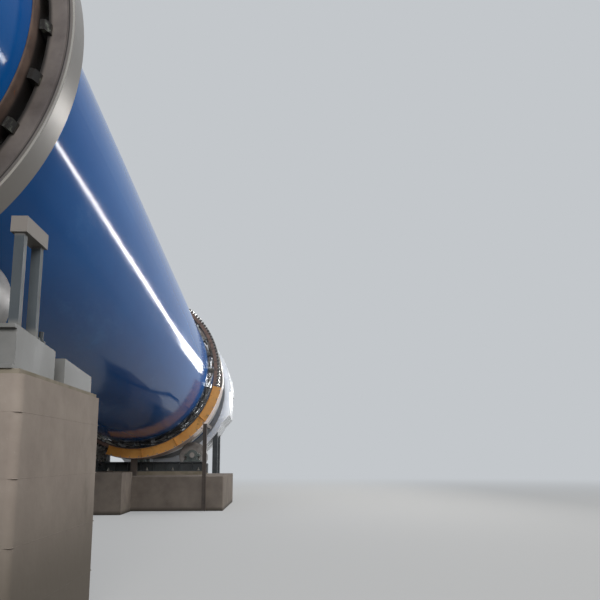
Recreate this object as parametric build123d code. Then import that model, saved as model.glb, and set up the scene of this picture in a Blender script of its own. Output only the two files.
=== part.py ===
from build123d import *
import math
import os

# Inclined rotary drum dryer for fruit pomace, built from the floor up.
# Millimetres. +X is across the drum towards the aisle, +Y runs along the drum from the
# feed end to the discharge end, +Z is up. The origin is on the floor, under the drum's
# axis, at the middle of the main plinth. "Station" is a distance along the drum's axis
# from that point, "down" a distance square to the axis, away from the sky.

# Drum line
SLOPE = 3.84
AXIS_HEIGHT = 2753.0
FAR_TYRE_STATION = 660.0
TYRE_SPACING = 13000.0
FEED_OVERHANG = 4800.0
DISCHARGE_OVERHANG = 2200.0
GEAR_STATION = -490.0

# Drum shell
SHELL_RADIUS = 1500.0
SHELL_WALL = 18.0
DAM_HEIGHT = 350.0
DAM_THICK = 20.0
SEAT_GAP = 0.3

# Tyres, the wrapper plates under them and the pads between
WRAPPER_THICK = 12.0
WRAPPER_REACH = 170.0
PAD_HEIGHT = 33.0
TYRE_THICK = 160.0
TYRE_WIDTH = 250.0
TYRE_CHAMFER = 14.0
TYRE_RIM = 30.0
TYRE_RECESS = 4.0
PAD_COUNT = 28
PAD_ARC = 2.6
PAD_REACH = 70.0
PAD_LUG = 26.0
PAD_SIDE_GAP = 1.0

# Girth gear, its spring plates and its pinion
GEAR_MODULE = 22.0
GEAR_STANDOFF = 194.0
GEAR_WIDTH = 260.0
GEAR_RIM_THICK = 74.5
PINION_TEETH = 21
PINION_WIDTH = 280.0
PINION_ANGLE = 26.5
PRESSURE_ANGLE = 20.0
TIP_FACTOR = 1.0
ROOT_FACTOR = 1.25
FLANK_GAP = 1.0
FLANK_STEPS = 4
SPRING_COUNT = 28
SPRING_THICK = 18.0
SPRING_WIDTH = 190.0
SPRING_LIFT = 15.0
SPRING_FOOT = 80.0
SPRING_LUG = 90.0

# Support rollers and their bearings
ROLLER_RADIUS = 300.0
ROLLER_WIDTH = 300.0
ROLLER_ANGLE = 33.0
ROLLER_CHAMFER = 10.0
HUB_RADIUS = 120.0
HUB_LENGTH = 380.0
JOURNAL_RADIUS = 55.0
JOURNAL_LENGTH = 780.0
RUN_FIT = 0.05
BEARING_OFFSET = 290.0
BEARING_CENTRE = 140.0
BEARING_WIDTH = 150.0
BEARING_BODY = 118.0
BEARING_FOOT = 360.0
BEARING_FOOT_THICK = 34.0
BEARING_LUG = 330.0
BEARING_LUG_THICK = 44.0
BEARING_LUG_WIDTH = 110.0
BEARING_SEAL = 85.0
BEARING_SEAL_THICK = 12.0

# Roller frames: two ribbed cross beams tied together
FRAME_END = 108.0
FRAME_DEPTH = 200.0
FLANGE_WIDTH = 220.0
FLANGE_THICK = 18.0
WEB_THICK = 14.0
RIB_THICK = 12.0
RIB_COUNT = 11
TIE_WIDTH = 110.0
TIE_DEPTH = 110.0
TIE_OFFSET = 540.0

# Thrust rollers against the far tyre
THRUST_RADIUS = 150.0
THRUST_HEIGHT = 100.0
THRUST_LAP = 113.0
THRUST_PIN = 45.0
THRUST_HOUSING = 95.0
THRUST_COLLAR = 14.0

# Near pier, its base frame and the guard stand on it
PIER_EDGE = 55.0
PIER_LEDGE = 40.0
PIER_CORNER = 45.0
GROUT_THICK = 25.0
GROUT_INSET = 22.0
BASE_BEYOND = 365.0
BASE_LOW = 112.5
BASE_INNER = 100.0
BASE_OUTER = 740.0
STAND_SECTION = 48.0
STAND_RISE = 508.0
STAND_INSET = 30.0
STAND_FIRST = 90.0
STAND_PITCH = 260.0
STAND_BEAM = 80.0

# Main plinth and drive plinth
PLINTH_EDGE = 520.0
PLINTH_LENGTH = 3150.0
FAR_GROUT_THICK = 20.0
STEP_RISE = 90.0
STEP_LEDGE = 114.0
STEP_END = 20.0
DRIVE_LEDGE = 197.5
DRIVE_PLINTH_INNER = 150.0
PLINTH_CORNER = 25.0

# Gear guard
GUARD_CLEAR = 94.0
GUARD_DEPTH = 180.0
GUARD_SHEET = 6.0
GUARD_GAP = 75.0
GUARD_LIP = 14.0
GUARD_START = 11.8
GUARD_END = 107.5
POST_INSET = 280.0
POST_SECTION = 80.0
POST_WALL = 8.0
POST_BELOW = 1103.0
ARM_SECTION = 60.0
CLEAT_REACH = 400.0
GUARD_FOOT_HALF = 60.0

# Pinion pedestal, reducer, motor and their couplings
PINION_JOURNAL = 65.0
PINION_BEARING_OFFSET = 330.0
PINION_SHAFT_FRONT = 870.0
PEDESTAL_HALF = 185.0
PEDESTAL_PLATE = 22.0
PEDESTAL_TOWER = 200.0
COUPLING_RADIUS = 155.0
COUPLING_HUB = 98.0
COUPLING_HALF = 125.0
COUPLING_FLANGE = 38.0
REDUCER_CENTRE = 330.0
REDUCER_OFFSET = 590.0
REDUCER_LENGTH = 660.0
REDUCER_START = 220.0
REDUCER_HEAD = 500.0
REDUCER_SIDE = 255.0
REDUCER_WALL_INSET = 42.0
REDUCER_FLANGE = 36.0
REDUCER_FOOT = 40.0
REDUCER_BOSS = 150.0
REDUCER_BOSS_THICK = 55.0
INPUT_BOSS = 90.0
INPUT_SHAFT = 35.0
MOTOR_CENTRE = 280.0
MOTOR_RADIUS = 215.0
MOTOR_LENGTH = 620.0
MOTOR_GAP = 230.0
MOTOR_FINS = 40
MOTOR_FIN_DEPTH = 22.0
MOTOR_FIN_THICK = 7.0
MOTOR_FIN_ROOT = 2.0
MOTOR_SHIELD = 60.0
MOTOR_FOOT_HALF = 230.0
MOTOR_FOOT_WIDE = 115.0
MOTOR_LEG_ACROSS = 150.0
MOTOR_FOOT_THICK = 28.0
INPUT_COUPLING = 90.0
COVER_GAP = 40.0
COVER_SHEET = 6.0
PINION_COVER_LENGTH = 330.0
INPUT_COVER_LENGTH = 190.0

# End hoods, seals and legs
HOOD_CLEAR = 250.0
HOOD_SHEET = 10.0
HOOD_OVERLAP = 520.0
HOOD_BEYOND = 760.0
HOLE_CLEAR = 20.0
SEAL_CLEAR = 6.0
SEAL_WIDTH = 114.0
SEAL_THICK = 20.0
HOPPER_HALF = 420.0
HOPPER_DROP = 330.0
HOPPER_SHOULDER = 560.0
OUTLET_HALF = 300.0
OUTLET_DROP = 160.0
EXHAUST_RADIUS = 480.0
EXHAUST_RISE = 220.0
GAS_RADIUS = 600.0
GAS_REACH = 260.0
GAS_DOWN = 450.0
FLANGE_REACH = 60.0
FLANGE_PLATE = 14.0
CHUTE_HALF = 250.0
CHUTE_SHEET = 8.0
CHUTE_DROP = 430.0
CHUTE_TILT = 55.0
CHUTE_LENGTH = 900.0
CHUTE_ELBOW = 320.0
CHUTE_PAST_DAM = 120.0
LEG_SECTION = 120.0
LEG_SIDE = 350.0
LEG_FOOT = 280.0
LEG_INSET = 240.0
LEG_FOOT_THICK = 20.0

# Worked out from the sizes above
SIN = math.sin(math.radians(SLOPE))
COS = math.cos(math.radians(SLOPE))
NEAR_TYRE_STATION = FAR_TYRE_STATION - TYRE_SPACING
SHELL_START = NEAR_TYRE_STATION - FEED_OVERHANG
SHELL_END = FAR_TYRE_STATION + DISCHARGE_OVERHANG
SECTION_LENGTH = (SHELL_END - SHELL_START) / 3
DAM_RADIUS = SHELL_RADIUS - DAM_HEIGHT
WRAPPER_RADIUS = SHELL_RADIUS + WRAPPER_THICK
TYRE_BORE = WRAPPER_RADIUS + PAD_HEIGHT
TYRE_RADIUS = TYRE_BORE + TYRE_THICK
GEAR_TEETH = round(2 * (SHELL_RADIUS + GEAR_STANDOFF) / GEAR_MODULE)
PITCH_RADIUS = GEAR_MODULE * GEAR_TEETH / 2
GEAR_ROOT = PITCH_RADIUS - ROOT_FACTOR * GEAR_MODULE
GEAR_TIP = PITCH_RADIUS + TIP_FACTOR * GEAR_MODULE
GEAR_RIM_BORE = GEAR_ROOT - GEAR_RIM_THICK
GUARD_OUTER = GEAR_TIP + GUARD_CLEAR
GUARD_INNER = GUARD_OUTER - GUARD_DEPTH
PINION_PITCH = GEAR_MODULE * PINION_TEETH / 2
PINION_DISTANCE = PITCH_RADIUS + PINION_PITCH
PINION_TIP = PINION_PITCH + TIP_FACTOR * GEAR_MODULE
PINION_ACROSS = -PINION_DISTANCE * math.sin(math.radians(PINION_ANGLE))
PINION_DOWN = PINION_DISTANCE * math.cos(math.radians(PINION_ANGLE))
ROLLER_DISTANCE = TYRE_RADIUS + ROLLER_RADIUS + SEAT_GAP
ROLLER_ACROSS = ROLLER_DISTANCE * math.sin(math.radians(ROLLER_ANGLE))
ROLLER_DOWN = ROLLER_DISTANCE * math.cos(math.radians(ROLLER_ANGLE))
FRAME_TOP = ROLLER_DOWN + BEARING_CENTRE
FRAME_BASE = FRAME_TOP + FRAME_DEPTH
FRAME_HALF = ROLLER_ACROSS + BEARING_FOOT / 2 + FRAME_END
BASE_HALF = FRAME_HALF + BASE_BEYOND
PIER_HALF = BASE_HALF + PIER_EDGE
PIER_LENGTH = 2 * (BASE_OUTER + PIER_LEDGE)
PLINTH_HALF = FRAME_HALF + PLINTH_EDGE
STAND_ACROSS = BASE_HALF - STAND_INSET
INPUT_ACROSS = PINION_ACROSS - REDUCER_OFFSET
GEAR_FRONT = GEAR_STATION - GEAR_WIDTH / 2
THRUST_STATION = TYRE_WIDTH / 2 + THRUST_RADIUS + SEAT_GAP
THRUST_TOP = TYRE_RADIUS - THRUST_LAP
PIER_MIDDLE = NEAR_TYRE_STATION * COS - FRAME_BASE * SIN
STEP_INNER = PINION_ACROSS + PEDESTAL_HALF + STEP_LEDGE
POST_ACROSS = GUARD_OUTER - POST_INSET
POST_TOP = AXIS_HEIGHT - POST_BELOW
COUPLING_STATION = GEAR_STATION - PINION_SHAFT_FRONT
REDUCER_BACK = COUPLING_STATION - REDUCER_START
INPUT_END = REDUCER_BACK + REDUCER_START
MOTOR_START = REDUCER_BACK + MOTOR_GAP + INPUT_COUPLING
HOOD_LENGTH = HOOD_OVERLAP + HOOD_BEYOND
HOOD_RADIUS = SHELL_RADIUS + HOOD_CLEAR
HOOD_HOLE = SHELL_RADIUS + HOLE_CLEAR
SEAL_BORE = SHELL_RADIUS + SEAL_CLEAR
SEAL_RADIUS = SEAL_BORE + SEAL_WIDTH
HOPPER_DOWN = HOOD_RADIUS + HOPPER_DROP
CHUTE_ABOVE = DAM_RADIUS - CHUTE_DROP
LEG_ACROSS = HOOD_RADIUS - LEG_SIDE
DISCHARGE_START = SHELL_END - HOOD_OVERLAP
FEED_START = SHELL_START - HOOD_BEYOND

# The drum's own frame: local X across, local Y down, local Z along the axis
RUN = Plane(origin=(0, 0, AXIS_HEIGHT), x_dir=(1, 0, 0), z_dir=(0, COS, -SIN))


def along(shape, station=0.0, across=0.0, down=0.0):
    """Place a shape drawn in the drum's own frame."""
    return RUN.location * Pos(across, down, station) * shape


def level(station, down):
    """Height above the floor of a point given by its station and its distance down."""
    return AXIS_HEIGHT - station * SIN - down * COS


def run_y(station, down):
    """Y of a point given by its station and its distance down."""
    return station * COS - down * SIN


# Heights of the foundations, from the girders and frames that they carry
PIER_TOP = level(NEAR_TYRE_STATION + BASE_OUTER, FRAME_BASE) - BASE_LOW - GROUT_THICK
STAND_TOP = level(NEAR_TYRE_STATION, FRAME_BASE) + STAND_RISE
PLINTH_TOP = level(FAR_TYRE_STATION + BEARING_OFFSET + FLANGE_WIDTH / 2,
                   FRAME_BASE) - FAR_GROUT_THICK
STEP_TOP = PLINTH_TOP + STEP_RISE
DRIVE_START = run_y(REDUCER_BACK - REDUCER_LENGTH, PINION_DOWN + REDUCER_CENTRE) - DRIVE_LEDGE


def turned(points, arc=360.0):
    """Body of revolution about local Z, from corner points of radius and station."""
    face = Plane.XZ * make_face(Polyline(*points, close=True))
    return revolve(face, Axis.Z, revolution_arc=arc)


def ring(bore, radius, start, end, arc=360.0):
    """Plain ring or ring sector between two stations."""
    return turned([(bore, start), (radius, start), (radius, end), (bore, end)], arc)


def polar(radius, angle):
    """Point of the XY plane, angle in degrees."""
    return (radius * math.cos(math.radians(angle)), radius * math.sin(math.radians(angle)))


def block(x0, x1, y0, y1, z0, z1):
    """Upright block between two corners."""
    return Pos((x0 + x1) / 2, (y0 + y1) / 2, (z0 + z1) / 2) * Box(x1 - x0, y1 - y0, z1 - z0)


def side_profile(points, x0, x1):
    """Prism with corner points of Y and Z, from x0 to x1."""
    face = Plane.YZ * make_face(Polyline(*points, close=True))
    return Pos(x0, 0, 0) * extrude(face, x1 - x0)


# Drum: shell, wrappers, tyres, pads

def shell_section(start, end):
    """Length of the drum's shell, welded to the next one at its end."""
    return along(ring(SHELL_RADIUS - SHELL_WALL, SHELL_RADIUS, start, end))


def feed_dam():
    """Ring plate on the shell's feed end that holds the wet pomace in."""
    return along(ring(DAM_RADIUS, SHELL_RADIUS, SHELL_START, SHELL_START + DAM_THICK))


def wrapper(station):
    half = TYRE_WIDTH / 2 + WRAPPER_REACH
    return along(ring(SHELL_RADIUS + SEAT_GAP, WRAPPER_RADIUS, -half, half), station)


def tyre(station):
    half = TYRE_WIDTH / 2
    face = half - TYRE_RECESS
    rim = TYRE_RADIUS - TYRE_CHAMFER - TYRE_RIM
    return along(turned([
        (TYRE_BORE, -face), (rim, -face), (rim + TYRE_RECESS, -half),
        (TYRE_RADIUS - TYRE_CHAMFER, -half), (TYRE_RADIUS, -half + TYRE_CHAMFER),
        (TYRE_RADIUS, half - TYRE_CHAMFER), (TYRE_RADIUS - TYRE_CHAMFER, half),
        (rim + TYRE_RECESS, half), (rim, face), (TYRE_BORE, face)]), station)


def tyre_pads(station):
    """Pads between wrapper and tyre, with a wedge lug each side that holds the tyre."""
    half = TYRE_WIDTH / 2 - TYRE_RECESS + PAD_SIDE_GAP
    end = half + PAD_REACH
    low = WRAPPER_RADIUS + SEAT_GAP
    top = TYRE_BORE - SEAT_GAP
    lug = TYRE_BORE + PAD_LUG
    pad = turned([
        (low, -end), (top, -end), (lug, -half - PAD_REACH / 3), (lug, -half), (top, -half),
        (top, half), (lug, half), (lug, half + PAD_REACH / 3), (top, end), (low, end)], PAD_ARC)
    pitch = 360.0 / PAD_COUNT
    return Compound([along(Rot(0, 0, pitch * k - PAD_ARC / 2) * pad, station)
                     for k in range(PAD_COUNT)])


# Girth gear, spring plates and pinion

def gear_outline():
    """Flat outline of the girth gear: straight flanks, close to a rack's at this size."""
    slope = math.tan(math.radians(PRESSURE_ANGLE))
    half = math.pi * GEAR_MODULE / 4 - FLANK_GAP
    root_turn = math.degrees((half + ROOT_FACTOR * GEAR_MODULE * slope) / GEAR_ROOT)
    tip_turn = math.degrees((half - TIP_FACTOR * GEAR_MODULE * slope) / GEAR_TIP)
    points = []
    for k in range(GEAR_TEETH):
        middle = 360.0 * k / GEAR_TEETH
        points += [polar(GEAR_ROOT, middle - root_turn), polar(GEAR_TIP, middle - tip_turn),
                   polar(GEAR_TIP, middle + tip_turn), polar(GEAR_ROOT, middle + root_turn)]
    return make_face(Polyline(*points, close=True))


def pinion_outline():
    """Flat outline of the pinion, with involute flanks."""
    pressure = math.radians(PRESSURE_ANGLE)
    base = PINION_PITCH * math.cos(pressure)
    root = PINION_PITCH - ROOT_FACTOR * GEAR_MODULE
    half = math.pi / (2 * PINION_TEETH) - FLANK_GAP / PINION_PITCH
    half += math.tan(pressure) - pressure
    flank = []
    for k in range(FLANK_STEPS):
        radius = base + (PINION_TIP - base) * k / (FLANK_STEPS - 1)
        roll = math.acos(min(1.0, base / radius))
        flank.append((radius, math.degrees(half - (math.tan(roll) - roll))))
    flank.insert(0, (root, flank[0][1]))
    points = []
    for k in range(PINION_TEETH):
        middle = 360.0 * k / PINION_TEETH
        points += [polar(radius, middle - turn) for radius, turn in flank]
        points += [polar(radius, middle + turn) for radius, turn in reversed(flank)]
    return make_face(Polyline(*points, close=True))


def girth_gear():
    """Toothed rim, with a tooth on the line to the pinion."""
    body = extrude(gear_outline(), GEAR_WIDTH) - extrude(Circle(GEAR_RIM_BORE), GEAR_WIDTH)
    return along(Rot(0, 0, 90 + PINION_ANGLE) * body, GEAR_FRONT)


def spring_plates():
    """Tangential plates that carry the gear on the shell, lapped like a fan."""
    low = SHELL_RADIUS + SPRING_LIFT
    top = low + SPRING_THICK
    rim = GEAR_RIM_BORE - SEAT_GAP
    reach = math.sqrt(rim ** 2 - top ** 2)
    strip = Pos(reach / 2, low + SPRING_THICK / 2) * Rectangle(reach, SPRING_THICK)
    foot = Pos(SPRING_FOOT / 2, low - SPRING_LIFT / 2) * Rectangle(SPRING_FOOT, 2 * SPRING_LIFT)
    lug = Pos(reach - SPRING_LUG / 2, top + SPRING_THICK) * Rectangle(SPRING_LUG, 3 * SPRING_THICK)
    zone = Circle(rim) - Circle(SHELL_RADIUS + SEAT_GAP)
    plate = extrude((strip + foot + lug) & zone, SPRING_WIDTH)
    start = GEAR_STATION - SPRING_WIDTH / 2
    return Compound([along(Rot(0, 0, 360.0 * k / SPRING_COUNT) * plate, start)
                     for k in range(SPRING_COUNT)])


def pinion():
    """Pinion cut on its shaft, with a gap on the line to the gear's tooth."""
    toothed = Pos(0, 0, -PINION_WIDTH / 2) * extrude(pinion_outline(), PINION_WIDTH)
    turn = 90 + PINION_ANGLE + 180 - 180.0 / PINION_TEETH
    tail = PINION_BEARING_OFFSET + BEARING_WIDTH / 2 + BEARING_SEAL_THICK
    shaft = Pos(0, 0, -PINION_SHAFT_FRONT) * extrude(Circle(PINION_JOURNAL),
                                                     PINION_SHAFT_FRONT + tail)
    return along(Rot(0, 0, turn) * toothed + shaft, GEAR_STATION, PINION_ACROSS, PINION_DOWN)


# Rollers and bearings

def roller(station, side):
    face = ROLLER_WIDTH / 2
    half = [(JOURNAL_RADIUS, JOURNAL_LENGTH / 2), (JOURNAL_RADIUS, HUB_LENGTH / 2),
            (HUB_RADIUS, HUB_LENGTH / 2), (HUB_RADIUS, face),
            (ROLLER_RADIUS - ROLLER_CHAMFER, face), (ROLLER_RADIUS, face - ROLLER_CHAMFER)]
    other = [(radius, -place) for radius, place in reversed(half)]
    body = turned([(0, JOURNAL_LENGTH / 2)] + half + other + [(0, -JOURNAL_LENGTH / 2)])
    return along(body, station, side * ROLLER_ACROSS, ROLLER_DOWN)


def pillow_block(journal):
    """Split bearing housing on a foot, its bore along local Z."""
    foot = Pos(0, BEARING_CENTRE - BEARING_FOOT_THICK / 2) * Rectangle(
        BEARING_FOOT, BEARING_FOOT_THICK)
    waist = Pos(0, BEARING_CENTRE / 2) * Rectangle(2 * BEARING_BODY, BEARING_CENTRE)
    body = extrude(Circle(BEARING_BODY) + waist + foot, BEARING_WIDTH / 2, both=True)
    body += extrude(Rectangle(BEARING_LUG, BEARING_LUG_THICK), BEARING_LUG_WIDTH / 2, both=True)
    body += extrude(Circle(BEARING_SEAL), BEARING_WIDTH / 2 + BEARING_SEAL_THICK, both=True)
    return body - extrude(Circle(journal + RUN_FIT), BEARING_WIDTH, both=True)


def bearing_pair(station, across, down, offset, journal):
    return Compound([along(pillow_block(journal), station + end * offset, across, down)
                     for end in (-1, 1)])


def roller_bearings(station):
    """Both rollers' bearings at one tyre."""
    pairs = [bearing_pair(station, side * ROLLER_ACROSS, ROLLER_DOWN, BEARING_OFFSET,
                          JOURNAL_RADIUS) for side in (-1, 1)]
    return Compound([block for pair in pairs for block in pair.solids()])


def roller_frame(station):
    """Two ribbed cross beams under the bearings, tied together below the rollers."""
    section = Rectangle(WEB_THICK, FRAME_DEPTH)
    for end in (-1, 1):
        section += Pos(0, end * (FRAME_DEPTH - FLANGE_THICK) / 2) * Rectangle(
            FLANGE_WIDTH, FLANGE_THICK)
    beam = extrude(Plane.ZY * section, FRAME_HALF, both=True)
    pitch = (2 * FRAME_HALF - RIB_THICK) / (RIB_COUNT - 1)
    for k in range(RIB_COUNT):
        place = pitch * k - FRAME_HALF + RIB_THICK / 2
        beam += Pos(place, 0, 0) * Box(RIB_THICK, FRAME_DEPTH, FLANGE_WIDTH)
    middle = (FRAME_TOP + FRAME_BASE) / 2
    frame = Pos(0, middle, -BEARING_OFFSET) * beam + Pos(0, middle, BEARING_OFFSET) * beam
    for place in (-TIE_OFFSET, 0, TIE_OFFSET):
        frame += Pos(place, FRAME_BASE - TIE_DEPTH / 2, 0) * Box(
            TIE_WIDTH, TIE_DEPTH, 2 * BEARING_OFFSET)
    return along(frame, station)


# Thrust rollers

def upright(shape, station, down):
    """Turn a body of revolution so that its axis points down, square to the drum's."""
    return along(Rot(-90, 0, 0) * shape, station, 0, down)


def thrust_roller(side):
    """Roller on its pin, against the side of the far tyre at its lowest point."""
    foot = FRAME_TOP - THRUST_TOP
    body = turned([
        (0, 0), (THRUST_RADIUS - ROLLER_CHAMFER, 0), (THRUST_RADIUS, ROLLER_CHAMFER),
        (THRUST_RADIUS, THRUST_HEIGHT - ROLLER_CHAMFER),
        (THRUST_RADIUS - ROLLER_CHAMFER, THRUST_HEIGHT), (THRUST_PIN, THRUST_HEIGHT),
        (THRUST_PIN, foot - THRUST_COLLAR), (0, foot - THRUST_COLLAR)])
    return upright(body, FAR_TYRE_STATION + side * THRUST_STATION, THRUST_TOP)


def thrust_housings():
    start = THRUST_HEIGHT + THRUST_COLLAR
    foot = FRAME_TOP - THRUST_TOP
    body = turned([
        (THRUST_PIN + RUN_FIT, start), (THRUST_HOUSING, start), (THRUST_HOUSING, foot),
        (THRUST_PIN + RUN_FIT, foot)])
    return Compound([upright(body, FAR_TYRE_STATION + side * THRUST_STATION, THRUST_TOP)
                     for side in (-1, 1)])


# Foundations

def near_pier():
    body = block(-PIER_HALF, PIER_HALF, PIER_MIDDLE - PIER_LENGTH / 2,
                 PIER_MIDDLE + PIER_LENGTH / 2, 0, PIER_TOP)
    return fillet(body.edges().filter_by(Axis.Z), PIER_CORNER)


def near_grout():
    half = PIER_LENGTH / 2 - GROUT_INSET
    across = PIER_HALF - GROUT_INSET
    return block(-across, across, PIER_MIDDLE - half, PIER_MIDDLE + half,
                 PIER_TOP, PIER_TOP + GROUT_THICK)


def base_girder(start, end):
    """Cross girder with a level foot and a top cut to the drum's slope."""
    foot = PIER_TOP + GROUT_THICK
    corners = []
    for station in (start, end):
        corners.append((run_y(station, FRAME_BASE), level(station, FRAME_BASE)))
    corners += [(corners[1][0], foot), (corners[0][0], foot)]
    return side_profile(corners, -BASE_HALF, BASE_HALF)


def near_base_frame():
    first = base_girder(NEAR_TYRE_STATION - BASE_OUTER, NEAR_TYRE_STATION - BASE_INNER)
    second = base_girder(NEAR_TYRE_STATION + BASE_INNER, NEAR_TYRE_STATION + BASE_OUTER)
    return Compound([first, second])


def near_guard_stand():
    """Two posts and a short box beam beside the near tyre."""
    half = STAND_SECTION / 2
    first = PIER_MIDDLE - PIER_LENGTH / 2 + STAND_FIRST
    posts = []
    for place in (first, first + STAND_PITCH):
        station = (place + FRAME_BASE * SIN) / COS
        foot = level(station - half, FRAME_BASE)
        posts.append(block(STAND_ACROSS - half, STAND_ACROSS + half,
                           place - half, place + half, foot, STAND_TOP))
    beam = block(STAND_ACROSS - STAND_BEAM / 2, STAND_ACROSS + STAND_BEAM / 2,
                 first - STAND_BEAM / 2, first + STAND_PITCH + STAND_BEAM / 2,
                 STAND_TOP, STAND_TOP + STAND_BEAM)
    return posts[0] + posts[1] + beam


def main_plinth():
    body = block(-PLINTH_HALF, PLINTH_HALF, -PLINTH_LENGTH / 2, PLINTH_LENGTH / 2, 0, PLINTH_TOP)
    body = fillet(body.edges().filter_by(Axis.Z), PLINTH_CORNER)
    return body + block(-PLINTH_HALF + PLINTH_CORNER, STEP_INNER, -PLINTH_LENGTH / 2,
                        STEP_END, PLINTH_TOP, STEP_TOP)


def drive_plinth():
    return block(-PLINTH_HALF, DRIVE_PLINTH_INNER, DRIVE_START, -PLINTH_LENGTH / 2, 0, STEP_TOP)


def far_grout():
    """Grout under each beam of the far roller frame."""
    pads = []
    for end in (-1, 1):
        middle = FAR_TYRE_STATION + end * BEARING_OFFSET
        start = middle - FLANGE_WIDTH / 2
        stop = middle + FLANGE_WIDTH / 2
        corners = [(run_y(start, FRAME_BASE), level(start, FRAME_BASE)),
                   (run_y(stop, FRAME_BASE), level(stop, FRAME_BASE)),
                   (run_y(stop, FRAME_BASE), PLINTH_TOP), (run_y(start, FRAME_BASE), PLINTH_TOP)]
        pads.append(side_profile(corners, -FRAME_HALF, FRAME_HALF))
    return Compound(pads)


# Gear guard

def gear_guard():
    """Trough round the lower part of the gear: two side plates and the wrap."""
    front = GEAR_FRONT - GUARD_GAP - GUARD_SHEET
    back = GEAR_FRONT + GEAR_WIDTH + GUARD_GAP + GUARD_SHEET
    inside = GUARD_OUTER - GUARD_SHEET
    profile = [
        (GUARD_INNER, front), (inside, front), (inside, front - GUARD_LIP),
        (GUARD_OUTER, front - GUARD_LIP), (GUARD_OUTER, back + GUARD_LIP),
        (inside, back + GUARD_LIP), (inside, back), (GUARD_INNER, back),
        (GUARD_INNER, back - GUARD_SHEET), (inside, back - GUARD_SHEET),
        (inside, front + GUARD_SHEET), (GUARD_INNER, front + GUARD_SHEET)]
    return along(Rot(0, 0, GUARD_START) * turned(profile, GUARD_END - GUARD_START))


def guard_supports():
    """Angle post before the plinth, its arm back to the guard, and a foot under the guard."""
    y0 = -PLINTH_LENGTH / 2 - SEAT_GAP
    middle = run_y(GEAR_STATION, AXIS_HEIGHT - POST_TOP)
    half = ARM_SECTION / 2
    edge = POST_ACROSS + POST_SECTION / 2
    body = block(edge - POST_SECTION, edge, y0 - POST_WALL, y0, 0, POST_TOP)
    body += block(edge - POST_WALL, edge, y0 - POST_SECTION, y0, 0, POST_TOP)
    body += block(POST_ACROSS - half, POST_ACROSS + half, y0 - POST_WALL, middle + half,
                  POST_TOP - ARM_SECTION, POST_TOP - ARM_SECTION + POST_WALL)
    body += block(POST_ACROSS + half - POST_WALL, POST_ACROSS + half, y0 - POST_WALL,
                  middle + half, POST_TOP - ARM_SECTION, POST_TOP)
    body += block(POST_ACROSS - CLEAT_REACH, POST_ACROSS + half, middle - half, middle + half,
                  POST_TOP - ARM_SECTION, POST_TOP - ARM_SECTION + POST_WALL)
    low = run_y(GEAR_STATION, GUARD_OUTER)
    foot = block(-GUARD_FOOT_HALF, GUARD_FOOT_HALF, low - GUARD_FOOT_HALF,
                 low + GUARD_FOOT_HALF, PLINTH_TOP, AXIS_HEIGHT - GUARD_INNER)
    round_guard = ring(0, GUARD_OUTER + SEAT_GAP, -GEAR_WIDTH, GEAR_WIDTH)
    return Compound([piece - along(round_guard, GEAR_STATION) for piece in (body, foot)])


# Drive

def pinion_pedestal():
    """Low base plate with a ribbed tower under each pinion bearing."""
    base = PINION_DOWN + BEARING_CENTRE
    left = PINION_ACROSS - PEDESTAL_HALF
    right = PINION_ACROSS + PEDESTAL_HALF
    reach = PINION_BEARING_OFFSET + PEDESTAL_TOWER / 2
    y0 = run_y(GEAR_STATION - reach, base)
    y1 = run_y(GEAR_STATION + reach, base)
    body = block(left, right, y0, y1, STEP_TOP, STEP_TOP + PEDESTAL_PLATE)
    for end in (-1, 1):
        middle = GEAR_STATION + end * PINION_BEARING_OFFSET
        ends = (middle - PEDESTAL_TOWER / 2, middle + PEDESTAL_TOWER / 2)
        top = [(run_y(s, base), level(s, base)) for s in ends]
        web = top + [(top[1][0], STEP_TOP), (top[0][0], STEP_TOP)]
        cap = top + [(y, z - PEDESTAL_PLATE) for y, z in reversed(top)]
        body += side_profile(cap, left, right)
        for place in (left, PINION_ACROSS - PEDESTAL_PLATE / 2, right - PEDESTAL_PLATE):
            body += side_profile(web, place, place + PEDESTAL_PLATE)
    return body


def pinion_bearings():
    return bearing_pair(GEAR_STATION, PINION_ACROSS, PINION_DOWN, PINION_BEARING_OFFSET,
                        PINION_JOURNAL)


def pinion_coupling():
    """Two flanged halves, the far one turned on the reducer's output shaft."""
    flange = COUPLING_FLANGE
    first = turned([
        (PINION_JOURNAL + SEAT_GAP, SEAT_GAP), (COUPLING_RADIUS, SEAT_GAP),
        (COUPLING_RADIUS, flange), (COUPLING_HUB, flange), (COUPLING_HUB, COUPLING_HALF),
        (PINION_JOURNAL + SEAT_GAP, COUPLING_HALF)])
    end = -REDUCER_START - REDUCER_LENGTH / 2
    second = turned([
        (0, -SEAT_GAP), (COUPLING_RADIUS, -SEAT_GAP), (COUPLING_RADIUS, -flange),
        (COUPLING_HUB, -flange), (COUPLING_HUB, -COUPLING_HALF),
        (PINION_JOURNAL, -COUPLING_HALF), (PINION_JOURNAL, end), (0, end)])
    return Compound([along(half, COUPLING_STATION, PINION_ACROSS, PINION_DOWN)
                     for half in (first, second)])


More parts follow.
